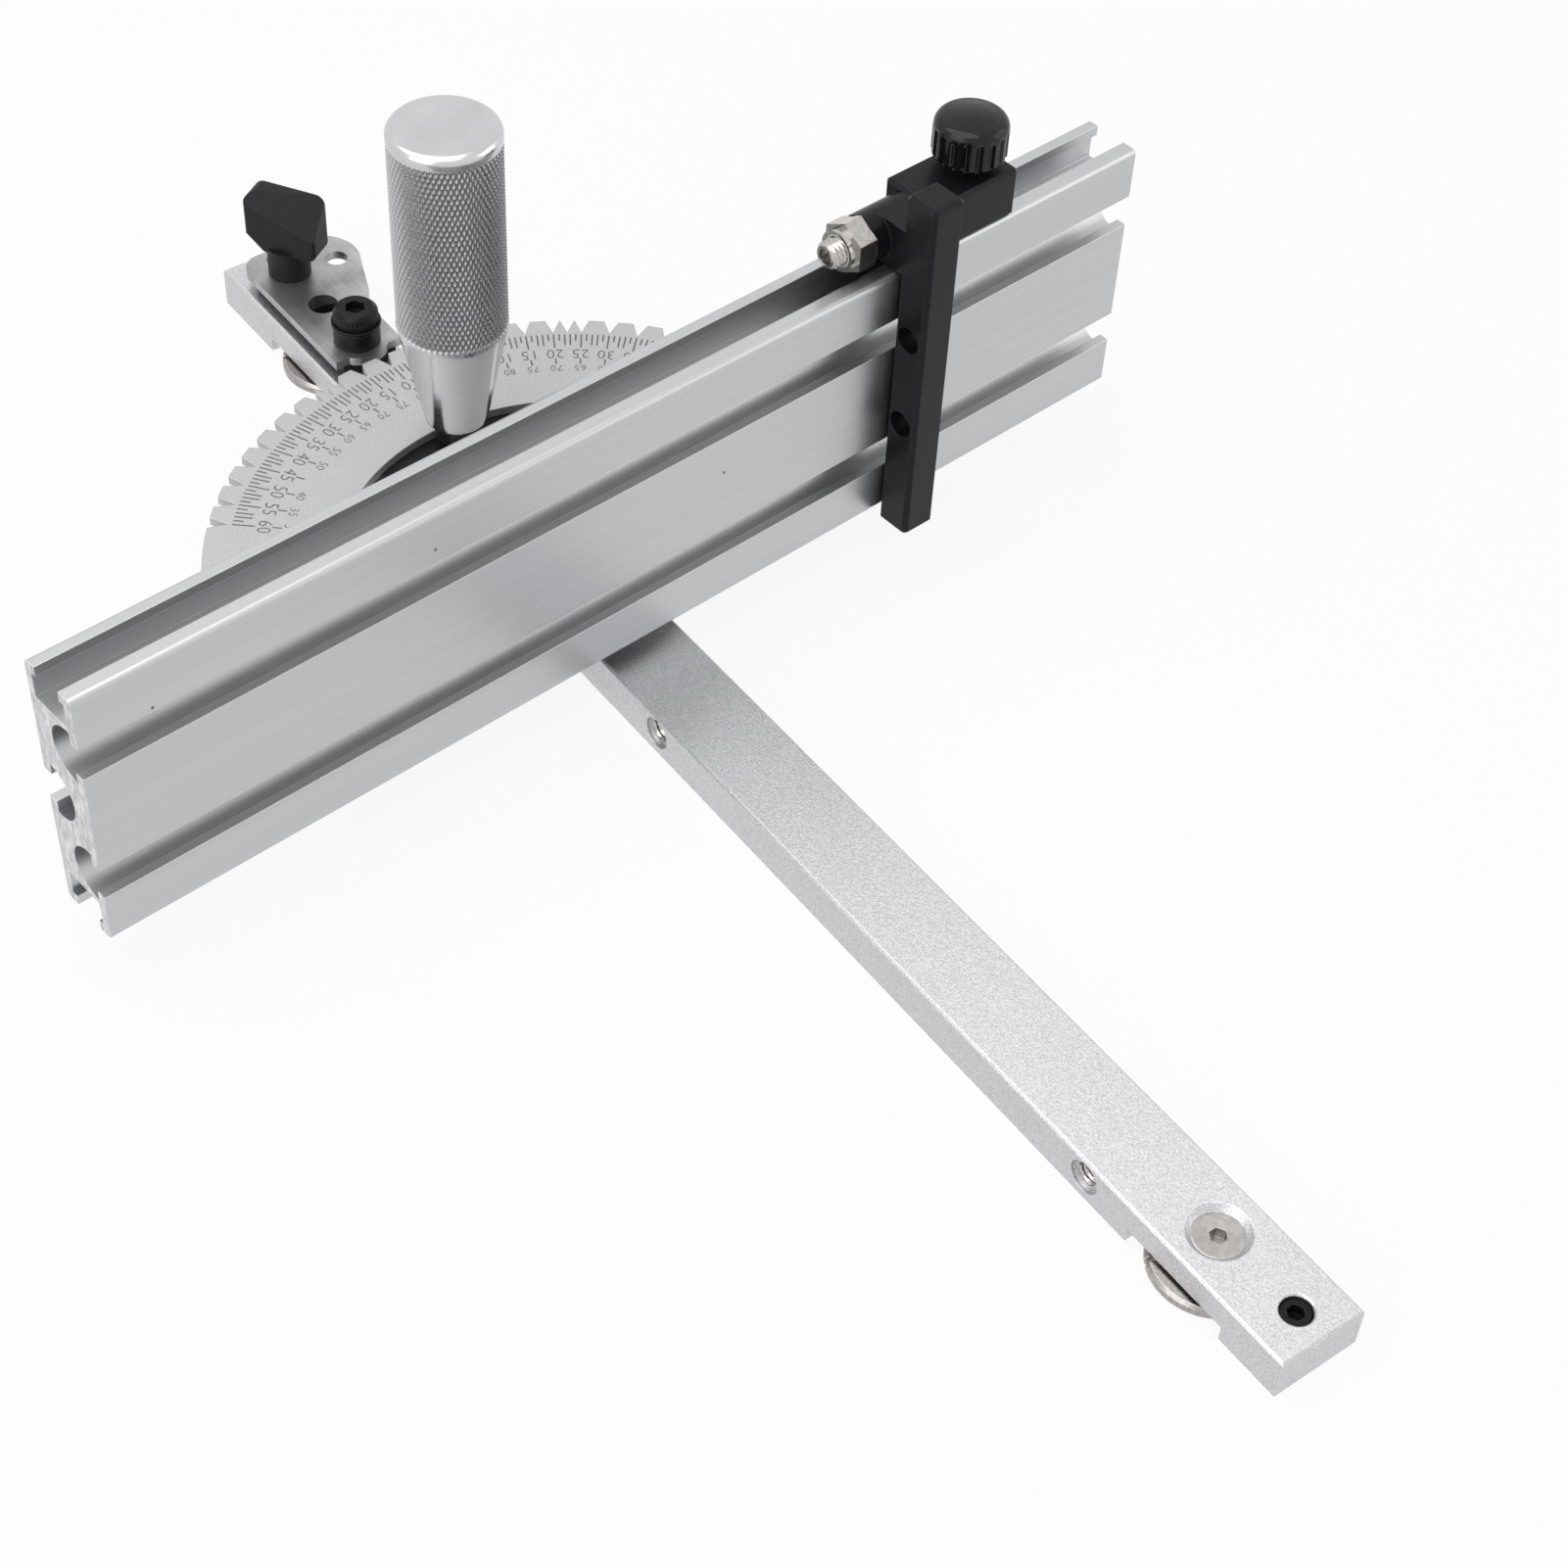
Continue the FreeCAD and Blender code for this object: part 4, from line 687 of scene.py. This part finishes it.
def digit_mesh(text):
    """Points and faces of a text, moved to its own centre and scaled to a height of one."""
    curve = bpy.data.curves.new("digits", "FONT")
    curve.body = text
    curve.extrude = DIGIT_EXTRUDE
    curve.offset = DIGIT_THINNING
    curve.resolution_u = DIGIT_CURVE_STEPS
    holder = bpy.data.objects.new("digits", curve)
    bpy.context.scene.collection.objects.link(holder)
    bpy.context.view_layer.update()
    made = bpy.data.meshes.new_from_object(holder.evaluated_get(
        bpy.context.evaluated_depsgraph_get()))
    points = np.empty(len(made.vertices) * 3)
    made.vertices.foreach_get("co", points)
    points = points.reshape(-1, 3)
    faces = [tuple(face.vertices) for face in made.polygons]
    bpy.data.objects.remove(holder)
    bpy.data.meshes.remove(made)
    bpy.data.curves.remove(curve)
    low, high = points.min(0), points.max(0)
    tall = high[1] - low[1]
    unit = (points - (low + high) / 2) / np.array([tall, tall, high[2] - low[2]])
    return unit, faces


DIGITS = {text: digit_mesh(text) for text in "0123456789"}


def number_points(text, row, turn):
    """Digits side by side on a ray: right is across the ray, and up points to the pivot."""
    outward = np.array([-math.sin(turn), math.cos(turn), 0.0])
    right = np.array([-math.cos(turn), -math.sin(turn), 0.0])
    upright = np.array([0.0, 0.0, 1.0])
    parts = []
    for place, digit in enumerate(text):
        unit, faces = DIGITS[digit]
        shift = (place - (len(text) - 1) / 2) * row["pitch"]
        points = (outward * row["radius"] + right * shift
                  + unit[:, :1] * row["height"] * DIGIT_SQUEEZE * right
                  - unit[:, 1:2] * row["height"] * outward
                  + (plate_top + unit[:, 2:] * 2 * TICK_RISE) * upright)
        parts.append((points, faces))
    return parts


def all_numbers():
    """Every number of the two rows, as a list of point and face sets."""
    parts = []
    for angle in fives:
        turn = math.radians(float(angle)) - SCALE_OFFSET
        size = abs(int(angle))
        parts += number_points(str(size), OUTER_ROW, turn)
        left = RIGHT_ANGLE - size
        if left != size:
            parts += number_points(str(left), INNER_ROW, turn)
    return parts


def join_parts(parts):
    """One set of points and faces from many, each set's faces counted on from the last."""
    points, faces, offset = [], [], 0
    for part_points, part_faces in parts:
        points.append(part_points)
        faces += [[index + offset for index in face] for face in part_faces]
        offset += len(part_points)
    return np.concatenate(points), faces


engraving = wear_metal("grey_engraving", (0.10, 0.10, 0.10), (0.17, 0.17, 0.17),
                       roughness=(0.5, 0.6), scale=900.0, metallic=0.2)
marks = join_parts([(tick_points, tick_faces), (link_points, link_faces), *all_numbers()])
scale_marks = mesh_piece("scale_marks", *marks, "head", "plate_steel", engraving, smooth=False)
print("scale marks:", len(scale_marks.data.polygons), "faces")

# %% [markdown]
# Screw threads are one more formula: the radius is the crest's, less a triangle wave that moves up
# one pitch with each turn. The same grid makes the hinge stud, whose bare end sticks out of the
# nut, where the photograph shows its threads clearly.

# %% Threads
THREAD_PITCH = 1.0 * MM
THREAD_DEPTH = 0.55 * MM
THREAD_COLUMNS = 48
THREAD_ROWS = 8
STUD_CHAMFER = 0.6 * MM
STUD_SOCKET = 1.7 * MM
STUD_SOCKET_DEEP = 2.4 * MM


def thread_wave(along, turns):
    """Triangle wave that moves up one pitch with each turn."""
    return triangle_wave(along / THREAD_PITCH - turns / (2 * math.pi))


def threaded_rod(low, high, radius):
    """Rod along X at y and z 0: radius less the thread's wave, a round socket at its low end."""
    rows = round((high - low) / (THREAD_PITCH / THREAD_ROWS))
    along = np.linspace(low, high, rows)[:, None]
    turns = full_turn(THREAD_COLUMNS)
    size = radius - THREAD_DEPTH * thread_wave(along - low, turns)
    ends = np.minimum(along - low, high - along)
    size = np.minimum(size, radius - np.clip(STUD_CHAMFER - ends, 0.0, STUD_CHAMFER))
    grid = np.stack([np.broadcast_to(along, size.shape), size * np.cos(turns),
                     size * np.sin(turns)], axis=-1)
    inner = grid[0] * np.array([1.0, 0.0, 0.0]) + np.array([0.0, 1.0, 1.0]) * (
        grid[0] * STUD_SOCKET / np.linalg.norm(grid[0][:, 1:], axis=1)[:, None])
    deep = inner + np.array([STUD_SOCKET_DEEP, 0.0, 0.0])
    return np.concatenate([deep[None], inner[None], grid])


def make_hinge_stud():
    """Threaded stud on the hinge's own axis, as long and as thick as the solid one."""
    low, high = span("hinge_stud")
    centre = middle("hinge_stud")
    grid = threaded_rod(low[0], high[0], (high[2] - low[2]) / 2)
    return turned_solid(grid + np.array([0.0, centre[1], centre[2]]))


stud = mesh_piece("threaded_hinge_stud", *make_hinge_stud(), "stop", "nickel_steel", nickel_finish)
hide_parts("hinge_stud")
print("hinge stud:", len(stud.data.polygons), "faces")

# %% [markdown]
# The two tapped holes in the bar's side show silver threads. A thread inside a hole is a tube
# whose inner wall carries the same wave. The tube closes on itself both ways, round its axis and
# along its section, so it needs no end caps.

# %% Tapped side holes
HOLE_DEEP = (1.0 * MM, 7.6 * MM)
HOLE_RIDGE = 0.42 * MM
SKIN = 0.05 * MM
side_mounts = [mount for mount in frame["record"]["mounts"] if mount["kind"] == "threaded_hole"]


def threaded_tube(mount):
    """Tube along a mount's axis: inner radius is the hole's, less a wave of one pitch a turn."""
    radius = mount["dims"]["r_mm"] * MM
    axis = np.array(mount["axis"])
    upright = np.array([0.0, 0.0, 1.0])
    across = np.cross(upright, axis)
    half = mount["dims"]["length_mm"] * MM / 2
    mouth = np.array(mount["pos_m"]) + axis * half
    rows = round((HOLE_DEEP[1] - HOLE_DEEP[0]) / (THREAD_PITCH / THREAD_ROWS))
    deep = np.linspace(*HOLE_DEEP, rows)[:, None]
    turns = full_turn(THREAD_COLUMNS)
    inner = radius - HOLE_RIDGE * thread_wave(deep, turns)
    outer = np.full_like(inner[:2], radius + SKIN)
    size = np.concatenate([inner, outer])
    depth = np.concatenate([deep, deep[[-1, 0]]])
    return (mouth - axis * depth[..., None] + across * (size * np.cos(turns))[..., None]
            + upright * (size * np.sin(turns))[..., None])


def closed_tube(grid):
    """Points and faces of a grid that closes on itself both ways."""
    return grid.reshape(-1, 3), ring_faces(*grid.shape[:2], tube=True)


threads = join_parts([closed_tube(threaded_tube(mount)) for mount in side_mounts])
hole_threads = mesh_piece("side_hole_threads", *threads, "bar", "stainless", nickel_finish)
print("tapped holes:", len(side_mounts), "with", len(hole_threads.data.polygons), "faces")

# %% [markdown]
# The screw that holds the round pin has a straight knurl: upright ridges round a short head. The
# radius loses a triangle wave that runs round the head and stops at the chamfer. The hexagon
# socket is the same grid led inward: its radius is the flat's distance over the cosine of the
# turn from the flat's middle, down to a closed floor.

# %% Knurled pin screw
RIDGES = 36
RIDGE_STEPS = 8
RIDGE_DEPTH = 0.22 * MM
PIN_SHANK = 2.5 * MM
PIN_CHAMFER = 1.0 * MM
PIN_SOCKET = 2.1 * MM
PIN_SOCKET_DEEP = 2.3 * MM
PIN_EDGE = 0.1 * MM
PIN_ROWS = 6
LIP_SHARE = 0.8
RIDGE_SHARE = 0.9


def make_pin_screw():
    """Shank, ridged head, chamfer and hexagon socket as one turned grid."""
    low, high = span("index_pin_screw")
    seat = span("index_pin")[1][2]
    head = (high[0] - low[0]) / 2
    crown = high[2]
    rim = np.linspace(seat + PIN_EDGE, crown - PIN_CHAMFER, PIN_ROWS)
    lip = head - PIN_CHAMFER
    profile = [(PIN_SHANK, low[2]), (PIN_SHANK, seat), (head - RIDGE_DEPTH, seat)]
    profile += [(head, height) for height in rim]
    profile += [(head - PIN_EDGE, crown - PIN_CHAMFER * LIP_SHARE), (lip, crown)]
    turns = full_turn(RIDGES * RIDGE_STEPS)
    radius, height = np.array(profile).T[..., None]
    wave = triangle_wave(RIDGES * turns / (2 * math.pi))
    ridged = (height > seat + PIN_EDGE / 2) & (height < crown - PIN_CHAMFER * RIDGE_SHARE)
    size = radius - RIDGE_DEPTH * wave * ridged
    hexagon = PIN_SOCKET / np.cos(np.mod(turns, math.pi / 3) - math.pi / 6)
    size = np.concatenate([size, hexagon, hexagon])
    height = np.concatenate([height, [[crown], [crown - PIN_SOCKET_DEEP]]])
    return turned_solid(turned_grid(size, height, turns, middle("index_pin_screw")[:2]))


pin_screw = mesh_piece("knurled_pin_screw", *make_pin_screw(), "index", "black_oxide", black_oxide)
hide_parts("index_pin_screw")
print("pin screw:", len(pin_screw.data.polygons), "faces")

# %% [markdown]
# The clamping knob is moulded with scallops round its skirt under a smooth soft dome. Its radius
# is the skirt's, less a row of rounded scallops that fade out at the dome's edge, so one grid
# covers it all. Gloss plastic has little colour of its own: its shape shows in what it mirrors.

# %% Fluted knob
FLUTES = 18
FLUTE_STEPS = 14
FLUTE_DEPTH = 0.75 * MM
FLUTE_POWER = 0.7
FLUTE_FADE_LOW, FLUTE_FADE_HIGH = 0.4 * MM, 0.9 * MM
FLUTE_OVER = 0.3 * MM
KNOB_NECK_RADIUS, KNOB_NECK = 4.75 * MM, 2.6 * MM
KNOB_EDGE = 0.6 * MM
KNOB_STEPS = 30
DOME_BELOW_TOP = 3.0 * MM
DOME_IN, DOME_UP = 2.1 * MM, 2.2 * MM
DOME_CENTRE = 0.3 * MM
DOME_STEPS = 8


def make_fluted_knob():
    """Profile whose radius, along the skirt, loses the positive half of a cosine to a power."""
    low, high = span("stop_knob")
    centre = middle("stop_knob")
    radius = (high[0] - low[0]) / 2
    base, crown = low[2], high[2]
    neck, skirt = base + KNOB_NECK, crown - DOME_BELOW_TOP
    turn = np.linspace(0.0, math.pi / 2, DOME_STEPS)
    dome = np.stack([radius - DOME_IN * (1 - np.cos(turn)), skirt + DOME_UP * np.sin(turn)],
                    axis=-1)
    rise = np.linspace(dome[-1, 0], DOME_CENTRE, DOME_STEPS)[1:]
    cap = np.stack([rise, crown - (crown - dome[-1, 1]) * (rise / dome[-1, 0]) ** 2], axis=-1)
    lower = stepped_line([(KNOB_NECK_RADIUS, base), (KNOB_NECK_RADIUS, neck),
                          (radius - KNOB_EDGE, neck), (radius, neck + KNOB_EDGE),
                          (radius, skirt)], KNOB_STEPS)
    profile = np.concatenate([lower, dome[1:], cap])
    turns = full_turn(FLUTES * FLUTE_STEPS)
    height = profile[:, 1][:, None]
    wave = np.clip(np.cos(FLUTES * turns), 0.0, 1.0) ** FLUTE_POWER
    low_fade = np.clip((height - neck) / FLUTE_FADE_LOW, 0.0, 1.0)
    high_fade = np.clip((skirt + FLUTE_OVER - height) / FLUTE_FADE_HIGH, 0.0, 1.0)
    size = profile[:, 0][:, None] - FLUTE_DEPTH * wave * low_fade * high_fade
    return turned_solid(turned_grid(size, height, turns, centre[:2]))


fluted = mesh_piece("fluted_knob", *make_fluted_knob(), "clamp_knob", "gloss_black_plastic",
                    gloss_black)
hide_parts("stop_knob")
print("fluted knob:", len(fluted.data.polygons), "faces")

# %% [markdown]
# The studio is plain: a wide pale floor and soft lamps. Polished metal shows what is round it, so
# large lamps matter more than strong ones. The floor catches a soft shadow, and camera and
# mirror rays see it as nearly white through Light Path, so that the object stands on white.

# %% Studio
FLOOR_HALF = 6.0
FLOOR_GAP = 0.05 * MM
FLOOR_WHITE = 0.9


def seen_rays(tree):
    """1 for camera, glossy and transmission rays, 0 for the rays that light the object."""
    path = tree.nodes.new("ShaderNodeLightPath")
    total = path.outputs["Is Camera Ray"]
    for name in ("Is Glossy Ray", "Is Transmission Ray"):
        total = combine(tree, "MAXIMUM", total, path.outputs[name])
    return total


def blend_shader(tree, factor, under, over):
    """Shader output that goes from under to over as the factor goes from 0 to 1."""
    mix = tree.nodes.new("ShaderNodeMixShader")
    for place, value in enumerate((factor, under, over)):
        tree.links.new(value, mix.inputs[place])
    return mix.outputs["Shader"]


def make_floor():
    """Large flat floor just under the bar, mostly white for the rays that see it."""
    height = cad_bounds[0][2] - FLOOR_GAP
    corners = ((-1, -1), (1, -1), (1, 1), (-1, 1))
    points = [(x * FLOOR_HALF, y * FLOOR_HALF, height) for x, y in corners]
    mesh = bpy.data.meshes.new("floor")
    mesh.from_pydata(points, [], [(0, 1, 2, 3)])
    floor = bpy.data.objects.new("floor", mesh)
    bpy.context.scene.collection.objects.link(floor)
    material = bpy.data.materials.new("pale_floor")
    material.use_nodes = True
    tree = material.node_tree
    tree.nodes.clear()
    matte = add(tree, "ShaderNodeBsdfDiffuse", Color=(0.86, 0.86, 0.86, 1.0))
    white = add(tree, "ShaderNodeEmission", Color=(1.0, 1.0, 1.0, 1.0), Strength=1.0)
    share = combine(tree, "MULTIPLY", seen_rays(tree), FLOOR_WHITE)
    both = blend_shader(tree, share, matte.outputs["BSDF"], white.outputs["Emission"])
    output = tree.nodes.new("ShaderNodeOutputMaterial")
    tree.links.new(both, output.inputs["Surface"])
    mesh.materials.append(material)
    floor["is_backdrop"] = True


def area_lamp(name, place, target, size, power):
    """Square soft lamp that faces a target."""
    data = bpy.data.lights.new(name, "AREA")
    data.size = size
    data.energy = power
    lamp = bpy.data.objects.new(name, data)
    lamp.location = place
    lamp.rotation_mode = "QUATERNION"
    lamp.rotation_quaternion = (Vector(target) - Vector(place)).to_track_quat("-Z", "Y")
    bpy.context.scene.collection.objects.link(lamp)
    return lamp


def make_world():
    """Grey surround that lights softly from all sides; the rays that see it find white."""
    world = bpy.data.worlds.new("studio")
    bpy.context.scene.world = world
    world.use_nodes = True
    tree = world.node_tree
    tree.nodes.clear()
    soft = add(tree, "ShaderNodeBackground", Color=(0.62, 0.63, 0.65, 1.0), Strength=0.6)
    white = add(tree, "ShaderNodeBackground", Color=(1.0, 1.0, 1.0, 1.0), Strength=1.0)
    both = blend_shader(tree, seen_rays(tree), soft.outputs["Background"],
                        white.outputs["Background"])
    output = tree.nodes.new("ShaderNodeOutputWorld")
    tree.links.new(both, output.inputs["Surface"])


make_floor()
make_world()
aim = (0.0, -0.02, 0.03)
lamps = [area_lamp("top_softbox", (-0.25, 0.1, 1.0), aim, size=1.1, power=6.5),
         area_lamp("left_softbox", (-0.95, -0.1, 0.5), aim, size=0.8, power=2.6),
         area_lamp("right_fill", (0.8, -0.6, 0.5), aim, size=0.7, power=1.4)]
bpy.context.scene.view_settings.view_transform = "Standard"
print("lamps:", [lamp.name for lamp in lamps])

# %% Sizes and finish
dressed_bounds = [list(corner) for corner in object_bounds()]
growth = np.abs(np.array(dressed_bounds) - np.array(cad_bounds)).max()
print("the two boxes differ by at most", round(float(growth) / MM, 4), "mm")
